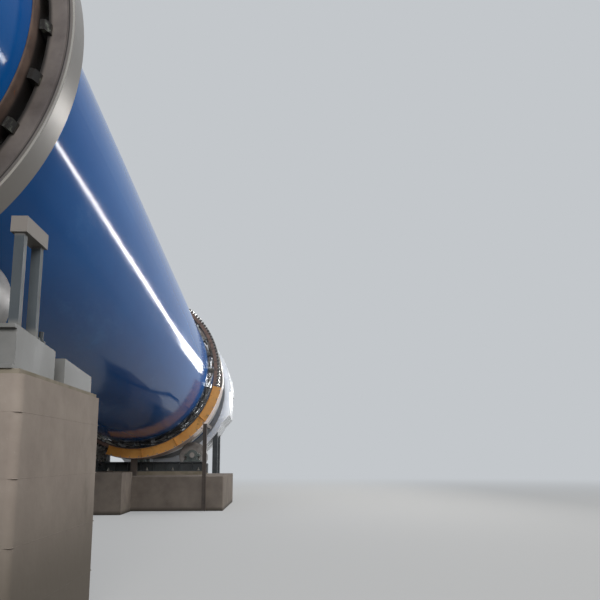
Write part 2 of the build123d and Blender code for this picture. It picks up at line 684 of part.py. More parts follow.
def reducer():
    """Split gear case: lower half on a foot, flange at the shafts, rounded upper half."""
    left = -REDUCER_OFFSET - REDUCER_SIDE
    right = REDUCER_SIDE
    inset = REDUCER_WALL_INSET
    shoulder = REDUCER_HEAD - REDUCER_SIDE + inset
    upper = Polyline((left + inset, 0), (left + inset, -REDUCER_HEAD + inset),
                     (left + 2 * inset, -REDUCER_HEAD), (right - inset - shoulder, -REDUCER_HEAD))
    crown = RadiusArc(upper @ 1, (right - inset, -REDUCER_HEAD + shoulder), shoulder)
    close = Polyline(crown @ 1, (right - inset, 0), (left + inset, 0))
    body = extrude(make_face([upper, crown, close]), REDUCER_LENGTH)
    lower = Pos((left + right) / 2, REDUCER_CENTRE / 2) * Rectangle(
        right - left - 2 * inset, REDUCER_CENTRE)
    body += extrude(lower, REDUCER_LENGTH)
    wide = right - left
    body += Pos((left + right) / 2, 0, REDUCER_LENGTH / 2) * Box(
        wide, REDUCER_FLANGE, REDUCER_LENGTH + inset)
    body += Pos((left + right) / 2, REDUCER_CENTRE - REDUCER_FOOT / 2, REDUCER_LENGTH / 2) * Box(
        wide, REDUCER_FOOT, REDUCER_LENGTH + inset)
    front = REDUCER_LENGTH + REDUCER_BOSS_THICK
    body += extrude(Circle(REDUCER_BOSS), front)
    body += Pos(-REDUCER_OFFSET, 0, 0) * extrude(Circle(INPUT_BOSS), front)
    bore = Circle(PINION_JOURNAL + RUN_FIT)
    body -= Pos(0, 0, REDUCER_LENGTH / 2 - SEAT_GAP) * extrude(bore, front)
    tail = Pos(-REDUCER_OFFSET, 0, front) * extrude(
        Circle(INPUT_SHAFT), REDUCER_START - REDUCER_BOSS_THICK)
    start = REDUCER_BACK - REDUCER_LENGTH
    return along(body + tail, start, PINION_ACROSS, PINION_DOWN)


def input_coupling():
    """Plain coupling drum between reducer and motor."""
    body = ring(INPUT_SHAFT + SEAT_GAP, INPUT_COUPLING, -INPUT_COUPLING, INPUT_COUPLING)
    return along(body, INPUT_END, INPUT_ACROSS, PINION_DOWN)


def motor():
    """Finned motor frame between two end shields, on feet, with its shaft."""
    body = extrude(Circle(MOTOR_RADIUS - MOTOR_FIN_DEPTH), MOTOR_LENGTH)
    fin_deep = MOTOR_FIN_DEPTH + MOTOR_FIN_ROOT
    fin = Pos(MOTOR_RADIUS - MOTOR_FIN_ROOT / 2 - fin_deep / 2, 0, MOTOR_LENGTH / 2) * Box(
        fin_deep, MOTOR_FIN_THICK, MOTOR_LENGTH)
    for k in range(MOTOR_FINS):
        body += Rot(0, 0, 360.0 * (k + 0.5) / MOTOR_FINS) * fin
    for place in (0, MOTOR_LENGTH - MOTOR_SHIELD):
        body += Pos(0, 0, place) * extrude(Circle(MOTOR_RADIUS), MOTOR_SHIELD)
    foot_high = MOTOR_CENTRE - MOTOR_FOOT_THICK / 2
    for end in (-1, 1):
        for place in (MOTOR_SHIELD, MOTOR_LENGTH - 2 * MOTOR_SHIELD):
            leg = Pos(end * MOTOR_LEG_ACROSS, MOTOR_CENTRE / 2, place + MOTOR_SHIELD / 2)
            body += leg * Box(MOTOR_SHIELD, MOTOR_CENTRE, MOTOR_SHIELD)
        body += Pos(end * (MOTOR_FOOT_HALF - MOTOR_FOOT_WIDE / 2), foot_high,
                    MOTOR_LENGTH / 2) * Box(
            MOTOR_FOOT_WIDE, MOTOR_FOOT_THICK, MOTOR_LENGTH - 2 * MOTOR_SHIELD)
    shaft_length = MOTOR_START - INPUT_END
    body += Pos(0, 0, -shaft_length + SEAT_GAP) * extrude(Circle(INPUT_SHAFT), shaft_length)
    return along(body, MOTOR_START, INPUT_ACROSS, PINION_DOWN)


def drive_base():
    """Packing frames with level feet under the reducer and the motor."""
    pieces = []
    left = PINION_ACROSS - REDUCER_OFFSET - REDUCER_SIDE
    right = PINION_ACROSS + REDUCER_SIDE
    spans = [(REDUCER_BACK - REDUCER_LENGTH, REDUCER_BACK, REDUCER_CENTRE, left, right),
             (MOTOR_START, MOTOR_START + MOTOR_LENGTH, MOTOR_CENTRE,
              INPUT_ACROSS - MOTOR_FOOT_HALF, INPUT_ACROSS + MOTOR_FOOT_HALF)]
    for start, end, centre, x0, x1 in spans:
        down = PINION_DOWN + centre
        top = [(run_y(s, down), level(s, down)) for s in (start, end)]
        pieces.append(side_profile(top + [(top[1][0], STEP_TOP), (top[0][0], STEP_TOP)], x0, x1))
    return Compound(pieces)


def coupling_cover(radius, length, station, across):
    """Sheet cover with a half-round top over a coupling, standing on the plinth."""
    outer = Circle(radius) + Pos(0, radius) * Rectangle(2 * radius, 2 * radius)
    outer += Pos(0, PINION_DOWN / 2) * Rectangle(2 * radius, PINION_DOWN)
    inner = radius - COVER_SHEET
    outer -= Circle(inner) + Pos(0, PINION_DOWN) * Rectangle(2 * inner, 2 * PINION_DOWN)
    body = Pos(0, 0, -length / 2) * extrude(outer, length)
    below = block(-PLINTH_LENGTH, PLINTH_LENGTH, -PLINTH_LENGTH, 0, -PINION_DOWN, STEP_TOP)
    return along(body, station, across, PINION_DOWN) - below


def coupling_covers():
    return Compound([
        coupling_cover(COUPLING_RADIUS + COVER_GAP, PINION_COVER_LENGTH, COUPLING_STATION,
                       PINION_ACROSS),
        coupling_cover(INPUT_COUPLING + COVER_GAP, INPUT_COVER_LENGTH, INPUT_END,
                       INPUT_ACROSS)])


# End hoods

def hood_plate_hole(radius, start):
    return Pos(0, 0, start - HOOD_SHEET) * extrude(Circle(radius), 3 * HOOD_SHEET)


def feed_outline(wall):
    return Circle(HOOD_RADIUS - wall)


def discharge_outline(wall):
    """Round top, upright sides and a hopper below, drawn a wall's thickness inside."""
    radius = HOOD_RADIUS - wall
    low = HOPPER_DOWN - wall
    return Circle(radius) + make_face(Polyline(
        (-radius, 0), (radius, 0), (radius, HOPPER_SHOULDER), (HOPPER_HALF - wall, low),
        (-HOPPER_HALF + wall, low), (-radius, HOPPER_SHOULDER), close=True))


def discharge_hood():
    """Round-topped sheet casing with a hopper below and an exhaust neck above."""
    body = extrude(discharge_outline(0), HOOD_LENGTH)
    body -= Pos(0, 0, HOOD_SHEET) * extrude(discharge_outline(HOOD_SHEET),
                                            HOOD_LENGTH - 2 * HOOD_SHEET)
    body -= hood_plate_hole(HOOD_HOLE, 0)
    middle = HOOD_LENGTH / 2
    neck = Circle(EXHAUST_RADIUS) - Circle(EXHAUST_RADIUS - HOOD_SHEET)
    top = HOOD_RADIUS + EXHAUST_RISE
    hole = Pos(0, -HOOD_RADIUS / 2, middle) * Rot(90, 0, 0) * extrude(
        Circle(EXHAUST_RADIUS - HOOD_SHEET), HOOD_RADIUS)
    tube = Pos(0, -top, middle) * Rot(-90, 0, 0) * extrude(neck, top)
    keep = Pos(0, 0, middle) * Box(4 * HOOD_RADIUS, 4 * HOOD_RADIUS, HOOD_LENGTH)
    keep -= extrude(Circle(HOOD_RADIUS - HOOD_SHEET), HOOD_LENGTH)
    flange = Pos(0, -top, middle) * Rot(-90, 0, 0) * extrude(
        Circle(EXHAUST_RADIUS + FLANGE_REACH) - Circle(EXHAUST_RADIUS - HOOD_SHEET), FLANGE_PLATE)
    body = (body - hole) + (tube & keep) + flange
    half = OUTLET_HALF
    body -= Pos(0, HOPPER_DOWN, middle) * Box(2 * half, 4 * HOOD_SHEET, 2 * half)
    spout = Rectangle(2 * half + 2 * HOOD_SHEET, 2 * half + 2 * HOOD_SHEET) - Rectangle(
        2 * half, 2 * half)
    lip = Rectangle(2 * (half + FLANGE_REACH), 2 * (half + FLANGE_REACH)) - Rectangle(
        2 * half, 2 * half)
    body += Pos(0, HOPPER_DOWN - HOOD_SHEET, middle) * Rot(-90, 0, 0) * extrude(
        spout, OUTLET_DROP)
    body += Pos(0, HOPPER_DOWN + OUTLET_DROP - HOOD_SHEET - FLANGE_PLATE, middle) * Rot(
        -90, 0, 0) * extrude(lip, FLANGE_PLATE)
    return along(body, DISCHARGE_START)


def feed_hood():
    """Round sheet casing over the feed end, between its two end plates."""
    return along(ring(HOOD_RADIUS - HOOD_SHEET, HOOD_RADIUS, HOOD_SHEET,
                      HOOD_LENGTH - HOOD_SHEET), FEED_START)


def feed_end_plate():
    """Outer end plate of the feed hood, with holes for the gas neck and the chute."""
    half = CHUTE_HALF + CHUTE_SHEET + SEAT_GAP
    plate = feed_outline(0) - Pos(0, GAS_DOWN) * Circle(GAS_RADIUS - HOOD_SHEET)
    plate -= Pos(0, -CHUTE_ABOVE) * Rectangle(2 * half, 2 * half)
    return along(extrude(plate, HOOD_SHEET), FEED_START)


def gas_neck():
    """Flanged neck for the hot gas duct, on the end plate."""
    bore = GAS_RADIUS - HOOD_SHEET
    body = turned([(bore, -GAS_REACH), (GAS_RADIUS + FLANGE_REACH, -GAS_REACH),
                   (GAS_RADIUS + FLANGE_REACH, FLANGE_PLATE - GAS_REACH),
                   (GAS_RADIUS, FLANGE_PLATE - GAS_REACH), (GAS_RADIUS, 0), (bore, 0)])
    return along(body, FEED_START, 0, GAS_DOWN)


def feed_inner_plate():
    """Ring plate that closes the feed hood round the shell."""
    return along(ring(HOOD_HOLE, HOOD_RADIUS, HOOD_LENGTH - HOOD_SHEET, HOOD_LENGTH), FEED_START)


def feed_chute():
    """Square duct that brings wet pomace down and through the end plate into the drum."""
    mitre = math.tan(math.radians(CHUTE_TILT / 2))
    inside = CHUTE_ELBOW + HOOD_BEYOND + DAM_THICK + CHUTE_PAST_DAM

    def duct(half, extra):
        section = Rectangle(2 * half, 2 * half)
        straight = Pos(0, 0, -half * mitre) * extrude(section, inside + half * mitre + extra)
        slanted = Rot(-CHUTE_TILT, 0, 0) * (Pos(0, 0, -CHUTE_LENGTH - extra) * extrude(
            section, CHUTE_LENGTH + half * mitre + extra))
        return straight + slanted

    rim = 2 * (CHUTE_HALF + CHUTE_SHEET + FLANGE_REACH)
    flange = Rot(-CHUTE_TILT, 0, 0) * (Pos(0, 0, -CHUTE_LENGTH) * extrude(
        Rectangle(rim, rim), FLANGE_PLATE))
    body = duct(CHUTE_HALF + CHUTE_SHEET, 0) + flange - duct(CHUTE_HALF, FLANGE_REACH)
    return along(body, FEED_START - CHUTE_ELBOW, 0, -CHUTE_ABOVE)


def seal(station, side):
    """Stationary ring plate bolted to a hood, close round the turning shell."""
    start = station if side > 0 else station - SEAL_THICK
    return along(ring(SEAL_BORE, SEAL_RADIUS, start, start + SEAL_THICK))


def hood_legs(start, outline):
    """Upright legs under a hood, cut to its shape, each on a foot plate."""
    casing = along(extrude(outline(-SEAT_GAP), HOOD_LENGTH), start)
    pieces = []
    for station in (start + LEG_INSET, start + HOOD_LENGTH - LEG_INSET):
        top = level(station, 0)
        y = run_y(station, LEG_ACROSS)
        for side in (-1, 1):
            x0 = side * LEG_ACROSS
            half = LEG_SECTION / 2
            leg = block(x0 - half, x0 + half, y - half, y + half, LEG_FOOT_THICK, top)
            leg += block(x0 - LEG_FOOT / 2, x0 + LEG_FOOT / 2, y - LEG_FOOT / 2,
                         y + LEG_FOOT / 2, 0, LEG_FOOT_THICK)
            pieces.append((leg - casing).solids().sort_by(Axis.Z)[0])
    return Compound(pieces)


NODES = {
    "feed_dam": feed_dam(),
    "shell_feed_section": shell_section(SHELL_START + DAM_THICK, SHELL_START + SECTION_LENGTH),
    "shell_middle_section": shell_section(SHELL_START + SECTION_LENGTH,
                                          SHELL_END - SECTION_LENGTH),
    "shell_discharge_section": shell_section(SHELL_END - SECTION_LENGTH, SHELL_END),
    "near_wrapper": wrapper(NEAR_TYRE_STATION),
    "far_wrapper": wrapper(FAR_TYRE_STATION),
    "near_tyre": tyre(NEAR_TYRE_STATION),
    "far_tyre": tyre(FAR_TYRE_STATION),
    "near_tyre_pads": tyre_pads(NEAR_TYRE_STATION),
    "far_tyre_pads": tyre_pads(FAR_TYRE_STATION),
    "girth_gear": girth_gear(),
    "gear_spring_plates": spring_plates(),
    "pinion": pinion(),
    "near_roller_left": roller(NEAR_TYRE_STATION, -1),
    "near_roller_right": roller(NEAR_TYRE_STATION, 1),
    "far_roller_left": roller(FAR_TYRE_STATION, -1),
    "far_roller_right": roller(FAR_TYRE_STATION, 1),
    "near_bearings": roller_bearings(NEAR_TYRE_STATION),
    "far_bearings": roller_bearings(FAR_TYRE_STATION),
    "near_roller_frame": roller_frame(NEAR_TYRE_STATION),
    "far_roller_frame": roller_frame(FAR_TYRE_STATION),
    "near_base_frame": near_base_frame(),
    "near_guard_stand": near_guard_stand(),
    "near_pier": near_pier(),
    "near_grout": near_grout(),
    "main_plinth": main_plinth(),
    "drive_plinth": drive_plinth(),
    "far_grout": far_grout(),
    "thrust_roller_uphill": thrust_roller(-1),
    "thrust_roller_downhill": thrust_roller(1),
    "thrust_housings": thrust_housings(),
    "gear_guard": gear_guard(),
    "guard_supports": guard_supports(),
    "pinion_pedestal": pinion_pedestal(),
    "pinion_bearings": pinion_bearings(),
    "pinion_coupling": pinion_coupling(),
    "reducer": reducer(),
    "input_coupling": input_coupling(),
    "motor": motor(),
    "drive_base": drive_base(),
    "coupling_covers": coupling_covers(),
    "discharge_hood": discharge_hood(),
    "discharge_seal": seal(DISCHARGE_START, -1),
    "discharge_legs": hood_legs(DISCHARGE_START, discharge_outline),
    "feed_hood": feed_hood(),
    "feed_end_plate": feed_end_plate(),
    "feed_inner_plate": feed_inner_plate(),
    "gas_neck": gas_neck(),
    "feed_chute": feed_chute(),
    "feed_seal": seal(SHELL_START + HOOD_OVERLAP, 1),
    "feed_legs": hood_legs(FEED_START, feed_outline),
}

os.makedirs("parts", exist_ok=True)
for name, shape in NODES.items():
    export_step(shape, os.path.join("parts", name + ".step"))
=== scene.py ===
import math

import bpy
import numpy as np
from mathutils import Matrix, Vector


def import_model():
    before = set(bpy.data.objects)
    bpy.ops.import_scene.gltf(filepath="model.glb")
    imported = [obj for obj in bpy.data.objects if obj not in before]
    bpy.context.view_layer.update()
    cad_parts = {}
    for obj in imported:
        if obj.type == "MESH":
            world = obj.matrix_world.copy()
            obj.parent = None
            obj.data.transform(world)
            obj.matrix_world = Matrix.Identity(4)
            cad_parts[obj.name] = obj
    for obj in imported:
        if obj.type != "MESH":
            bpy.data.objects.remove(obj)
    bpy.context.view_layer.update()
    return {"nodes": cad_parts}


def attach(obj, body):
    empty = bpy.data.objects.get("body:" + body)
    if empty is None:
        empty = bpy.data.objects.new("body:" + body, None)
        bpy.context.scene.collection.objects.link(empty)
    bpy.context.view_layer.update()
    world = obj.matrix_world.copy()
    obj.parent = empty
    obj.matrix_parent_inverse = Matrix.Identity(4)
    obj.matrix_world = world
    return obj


# Looks of the inclined drum dryer. Metres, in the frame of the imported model: +X across the drum
# away from its drive, +Y along it from the feed end to the discharge end, +Z up, origin on the
# floor.

# Sizes repeated from the part's source
SLOPE = math.radians(3.84)
AXIS_HEIGHT = 2.753
SHELL_RADIUS = 1.5
TYRE_WIDTH = 0.25
FAR_TYRE = 0.66
NEAR_TYRE = -12.34
SHELL_START = -17.14
SHELL_END = 2.86
GEAR_STATION = -0.49
PLATE_SEAM = 20 / 9

# Camera, from the photograph's vanishing lines
EYE = (2.984, -16.786, 0.988)
PITCH = 0.2035
YAW = 0.027
ROLL = -0.0033
FOCAL_PIXELS = 765.5
PHOTO_PIXELS = 600.0
SENSOR = 36.0

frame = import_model()
nodes = frame["nodes"]


# Materials

def linear(text):
    """An sRGB hex colour as linear RGBA."""
    parts = [int(text[k:k + 2], 16) / 255 for k in (1, 3, 5)]
    return tuple(c / 12.92 if c <= 0.04045 else ((c + 0.055) / 1.055) ** 2.4
                 for c in parts) + (1.0,)


def add(tree, kind, values=None, links=None):
    """Adds a node; values go to its sockets or settings, links join its inputs to sockets."""
    node = tree.nodes.new(kind)
    for key, value in (values or {}).items():
        if isinstance(key, int) or key in node.inputs:
            node.inputs[key].default_value = value
        else:
            setattr(node, key, value)
    for key, socket in (links or {}).items():
        tree.links.new(socket, node.inputs[key])
    return node


# Where on the noise the first colour ends and the second begins, and the same for the roughness
COLOUR_STOPS = (0.32, 0.68)
ROUGHNESS_STOPS = (0.3, 0.7)
# Noises behind the bumps: the size of the long waves and of the lathe lines, in metres, and what
# part of the grain the fine ones are. Lathe lines are drawn about ten times as wide as real
# ones, so that they show
WAVE_SIZE = 0.6
LATHE_LINE = 0.006
FINE_PART = 6


def surface(name, colours, grain, roughness, metallic=0.0, bump=0.0, lathe=0.0, waves=0.0,
            gloss=0.5, haze=0.0, stretch=(1, 1, 1), layers=()):
    """Material whose colour wanders between two hexes on a noise of the grain's size in metres,
    and its roughness between two values on the same noise. Each layer is a measure, the values
    of it at which the layer is absent and full, and the layer's hex, roughness and metallic. The
    measures: a number is a noise of that size; "radius" is the distance from the drum's line;
    "height" is the height above the floor; a pair is the distance along the drum from two
    places, which lie the second number to each side of the first. Bumps: a fine noise, lines
    as a lathe leaves them, and long waves in the plate."""
    material = bpy.data.materials.new(name)
    material.use_nodes = True
    tree = material.node_tree
    tree.nodes.clear()
    place = add(tree, "ShaderNodeTexCoord").outputs["Object"]
    turned = add(tree, "ShaderNodeMapping",
                 {"Rotation": (SLOPE, 0, 0), "Location": (0, AXIS_HEIGHT * math.sin(SLOPE),
                                                          -AXIS_HEIGHT * math.cos(SLOPE))},
                 {"Vector": place}).outputs["Vector"]
    spread = add(tree, "ShaderNodeMapping", {"Scale": stretch}, {"Vector": turned})
    noise = add(tree, "ShaderNodeTexNoise", {"Scale": 1 / grain, "Detail": 6.0, "Roughness": 0.62},
                {"Vector": spread.outputs["Vector"]})
    ramp = add(tree, "ShaderNodeValToRGB", links={"Fac": noise.outputs["Fac"]})
    for stop, position, colour in zip(ramp.color_ramp.elements, COLOUR_STOPS, colours):
        stop.position = position
        stop.color = linear(colour)
    values = {"Base Color": ramp.outputs["Color"],
              "Roughness": add(tree, "ShaderNodeMapRange",
                               {"From Min": ROUGHNESS_STOPS[0], "From Max": ROUGHNESS_STOPS[1],
                                "To Min": roughness[0], "To Max": roughness[1]},
                               {"Value": noise.outputs["Fac"]}).outputs["Result"]}
    own = {"Metallic": metallic, "Specular IOR Level": gloss, "Sheen Weight": haze,
           "Sheen Roughness": 0.2}

    drum_parts = add(tree, "ShaderNodeSeparateXYZ", links={0: turned})
    floor_parts = add(tree, "ShaderNodeSeparateXYZ", links={0: place})
    flat = add(tree, "ShaderNodeVectorMath", {"operation": "MULTIPLY", 1: (1, 0, 1)}, {0: turned})
    radius = add(tree, "ShaderNodeVectorMath", {"operation": "LENGTH"},
                 {0: flat.outputs["Vector"]}).outputs["Value"]
    for measure, low, high, hexa, rough, metal in layers:
        if measure == "radius":
            value = radius
        elif measure == "height":
            value = floor_parts.outputs["Z"]
        elif isinstance(measure, tuple):
            value = drum_parts.outputs["Y"]
            for centre in measure:
                away = add(tree, "ShaderNodeMath", {"operation": "SUBTRACT", 1: centre}, {0: value})
                value = add(tree, "ShaderNodeMath", {"operation": "ABSOLUTE"},
                            {0: away.outputs["Value"]}).outputs["Value"]
        else:
            value = add(tree, "ShaderNodeTexNoise", {"Scale": 1 / measure, "Detail": 8.0,
                                                     "Roughness": 0.68},
                        {"Vector": spread.outputs["Vector"]}).outputs["Fac"]
        amount = add(tree, "ShaderNodeMapRange", {"interpolation_type": "SMOOTHSTEP",
                                                  "From Min": low, "From Max": high},
                     {"Value": value}).outputs["Result"]
        mixed = add(tree, "ShaderNodeMix", {"data_type": "RGBA", 7: linear(hexa)},
                    {0: amount, 6: values["Base Color"]})
        values["Base Color"] = mixed.outputs[2]
        mixed = add(tree, "ShaderNodeMix", {3: rough}, {0: amount, 2: values["Roughness"]})
        values["Roughness"] = mixed.outputs[0]
        if metal != metallic or "Metallic" in values:
            before = {2: values["Metallic"]} if "Metallic" in values else {}
            mixed = add(tree, "ShaderNodeMix", {2: metallic, 3: metal}, {0: amount, **before})
            values["Metallic"] = mixed.outputs[0]

    lines = add(tree, "ShaderNodeCombineXYZ", links={0: radius, 1: drum_parts.outputs["Y"]})
    for size, deep, where in ((WAVE_SIZE, waves, spread.outputs["Vector"]),
                              (LATHE_LINE, lathe, lines.outputs["Vector"]),
                              (grain / FINE_PART, bump, spread.outputs["Vector"])):
        if deep:
            fine = add(tree, "ShaderNodeTexNoise", {"Scale": 1 / size, "Detail": 3.0},
                       {"Vector": where})
            before = {"Normal": values["Normal"]} if "Normal" in values else {}
            raised = add(tree, "ShaderNodeBump", {"Strength": 0.6, "Distance": deep},
                         {"Height": fine.outputs["Fac"], **before})
            values["Normal"] = raised.outputs["Normal"]
    shader = add(tree, "ShaderNodeBsdfPrincipled", own, values)
    add(tree, "ShaderNodeOutputMaterial", links={"Surface": shader.outputs["BSDF"]})
    return material


# Places for layers along the drum: the middle between the tyres with their distance from it, and
# the gear's own
TYRES = ((NEAR_TYRE + FAR_TYRE) / 2, (FAR_TYRE - NEAR_TYRE) / 2)
GEAR = (GEAR_STATION, 0.0)

# Alkyd enamel rolled on steel plate: deep glossy blue, a little cloudy, and a long slow waviness in
# the rolled plate. Beside the gear it is nearly black: splashes of grease, and painted shade by the
# guard
BLUE_ENAMEL = surface("alkyd_enamel_blue", ("#0058a6", "#0868b6"), 1.3, (0.06, 0.13), bump=0.0002,
                      waves=0.003, gloss=0.05, haze=0.05, stretch=(1, 0.35, 1),
                      layers=[(0.9, 0.56, 0.8, "#3c7fc4", 0.25, 0.0),
                              (GEAR, 0.75, 0.3, "#0b1522", 0.2, 0.0),
                              (0.05, 0.74, 0.82, "#9db0c4", 0.5, 0.0)])
# Forged ring steel: a turned face that has browned, paler grey from the axis down, grime and
# painted shade, nearly black, in the bore over the pads, a groove at the rim, a rubbed chamfer and
# a tread rolled smooth
TYRE_STEEL = surface("forged_steel_browned", ("#5c534d", "#857c75"), 0.45, (0.36, 0.55), 0.4,
                     bump=0.0005, lathe=0.0004,
                     layers=[(0.16, 0.58, 0.8, "#4f4640", 0.55, 0.3),
                             ("height", 2.75, 1.95, "#8f8a81", 0.5, 0.3),
                             ("radius", 1.575, 1.55, "#1d1713", 0.6, 0.2),
                             ("radius", 1.6655, 1.672, "#2c2723", 0.6, 0.3),
                             ("radius", 1.676, 1.679, "#7c756e", 0.4, 0.5),
                             ("radius", 1.6925, 1.6945, "#bdb8b0", 0.2, 0.85),
                             ("radius", 1.7025, 1.7045, "#827c75", 0.3, 0.35)])
# Hot-rolled plate with mill scale and red rust, black under and beside the tyre: grease, and
# painted shade in the gap below the tyre
RUSTY_PLATE = surface("hot_rolled_plate_rusted", ("#43322a", "#6e594d"), 0.12, (0.6, 0.85),
                      bump=0.001, layers=[(0.05, 0.6, 0.72, "#8f4f2c", 0.9, 0.0),
                                          (TYRES, 0.235, 0.185, "#140e0b", 0.45, 0.0)])
# Primer on gas-cut steel pads, smeared with black grease, and painted shade, quite black, at their
# feet by the wrapper, in the gap under the tyre
PAD_PRIMER = surface("primer_grey_green", ("#6b7065", "#989b8d"), 0.1, (0.5, 0.75), bump=0.0006,
                     layers=[(0.07, 0.3, 0.5, "#16120e", 0.4, 0.0),
                             ("radius", 1.53, 1.515, "#0f0c0a", 0.5, 0.0)])
# Cast steel with old grease, thick between the teeth, whose tips are polished; nearly black at the
# bore:
# grease there, and painted shade between the gear and the drum
GEAR_STEEL = surface("cast_steel_greased", ("#58423a", "#7b6257"), 0.09, (0.35, 0.6), 0.2,
                     bump=0.0006, layers=[(0.07, 0.52, 0.64, "#1b1310", 0.35, 0.2),
                                          ("radius", 1.612, 1.598, "#0d0908", 0.4, 0.2),
                                          ("radius", 1.667, 1.673, "#1e1814", 0.3, 0.4),
                                          ("radius", 1.7115, 1.7145, "#d9d5cd", 0.15, 0.85)])
# Pinion steel, cut and hardened, bright on the teeth and brown with grease elsewhere
PINION_STEEL = surface("hardened_pinion_steel", ("#6f6a64", "#a6a29b"), 0.08, (0.22, 0.42), 0.85,
                       bump=0.0003, layers=[(0.05, 0.56, 0.68, "#2a1d16", 0.35, 0.3)])
# Spring steel plate wiped with grease: bright where rubbed, black in the laps
SPRING_STEEL = surface("spring_steel_wiped", ("#8b8f92", "#d3d6d8"), 0.2, (0.14, 0.3), 0.75,
                       waves=0.002, layers=[(0.16, 0.42, 0.52, "#110e0b", 0.35, 0.1)])
# Cast steel rollers: bright rolled tread, dull painted web
ROLLER_STEEL = surface("cast_steel_roller", ("#5d5a57", "#8c8885"), 0.2, (0.3, 0.5), 0.55,
                       bump=0.0005, layers=[(0.06, 0.6, 0.72, "#57392a", 0.7, 0.2)])
# Alkyd enamel, amber, brush-marked, with brown dust and small chips, and a painted highlight: a
# pale pink line round the outer rim
AMBER_ENAMEL = surface("alkyd_enamel_amber", ("#cb8838", "#e2a350"), 0.3, (0.3, 0.45),
                       bump=0.0004, gloss=0.35,
                       layers=[(0.3, 0.56, 0.76, "#80511f", 0.6, 0.0),
                               (0.03, 0.72, 0.8, "#4a382c", 0.6, 0.0),
                               ("radius", 1.8045, 1.808, "#e9cfc0", 0.2, 0.3)])
# The same enamel on the coupling covers, a little darker and without the painted highlight on the
# rim
COVER_ENAMEL = surface("alkyd_enamel_amber_cover", ("#c07d2f", "#d29448"), 0.3, (0.3, 0.45),
                       bump=0.0004, gloss=0.35,
                       layers=[(0.3, 0.56, 0.76, "#80511f", 0.6, 0.0),
                               (0.03, 0.72, 0.8, "#4a382c", 0.6, 0.0)])
# Light grey machine paint on rolled sections
GREY_PAINT = surface("machine_paint_light_grey", ("#6f6f6c", "#83827f"), 0.3, (0.42, 0.6),
                     bump=0.0005, gloss=0.3,
                     layers=[(0.22, 0.58, 0.8, "#5f564c", 0.75, 0.0),
                             (0.03, 0.72, 0.8, "#6b4a36", 0.8, 0.0)])
# Dark primer on the stand's posts, dusty at its head and at its foot
STAND_PAINT = surface("primer_dusty", ("#464c50", "#555b5e"), 0.2, (0.45, 0.65), bump=0.0005,
                      gloss=0.3, layers=[("height", 2.05, 2.08, "#878079", 0.6, 0.0),
                                         ("height", 1.65, 1.61, "#7b7a76", 0.7, 0.0),
                                         (0.1, 0.6, 0.75, "#57504a", 0.8, 0.0)])
# Dark grey machine paint over primer, dusty
DARK_PAINT = surface("machine_paint_dark_grey", ("#2c3032", "#464b4d"), 0.25, (0.4, 0.62),
                     bump=0.0005, gloss=0.35,
                     layers=[(0.2, 0.6, 0.82, "#6a5f52", 0.8, 0.0),
                             (0.03, 0.73, 0.8, "#5a3a2a", 0.8, 0.0)])
# Grey-green gearbox enamel, oily
GREEN_ENAMEL = surface("machine_enamel_grey_green", ("#3d4745", "#56615e"), 0.3, (0.22, 0.4),
                       bump=0.0004, gloss=0.4,
                       layers=[(0.2, 0.58, 0.8, "#23231f", 0.3, 0.0)])
# Aluminium paint on sheet steel, glossy and a little wavy
SILVER_PAINT = surface("aluminium_paint", ("#cfd2d4", "#e3e4e5"), 0.6, (0.22, 0.34), 0.35,
                       bump=0.0002, waves=0.0012,
                       layers=[(0.5, 0.62, 0.9, "#a8a39a", 0.5, 0.2)])
# Concrete cast between boards: grey-brown and dusty, with damp patches and pale specks, and darker
# from
# 1 m down to the floor: damp dirt at the foot, and painted shade
CONCRETE = surface("board_marked_concrete", ("#8f8379", "#a3978c"), 0.35, (0.8, 0.95), bump=0.003,
                   gloss=0.2, layers=[(0.6, 0.56, 0.8, "#7a7065", 0.9, 0.0),
                                      (0.02, 0.66, 0.74, "#b5ab9f", 0.9, 0.0),
                                      ("height", 1.0, 0.3, "#6c645a", 0.85, 0.0)])
# The same concrete in the low plinths, darker and smoother
PLINTH_CONCRETE = surface("board_marked_concrete_low", ("#6c635b", "#82786e"), 0.35, (0.8, 0.95),
                          bump=0.002, gloss=0.2,
                          layers=[(0.6, 0.56, 0.8, "#5b534b", 0.9, 0.0),
                                  ("height", 0.09, 0.01, "#4c463f", 0.85, 0.0)])
# Brown-grey primer on the guard's posts
POST_PRIMER = surface("primer_brown_grey", ("#4a423d", "#61574f"), 0.2, (0.5, 0.7), bump=0.0005,
                      gloss=0.3, layers=[(0.05, 0.68, 0.78, "#6b4a36", 0.8, 0.0)])
# Zinc-plated bolts gone dull, with a brown bloom
BOLT_STEEL = surface("zinc_plated_bolts", ("#6d6a64", "#98958e"), 0.03, (0.35, 0.6), 0.6)
# Cement grout, smoother and lighter
GROUT = surface("cement_grout", ("#79715f", "#958c7e"), 0.2, (0.75, 0.9), bump=0.0015, gloss=0.2)

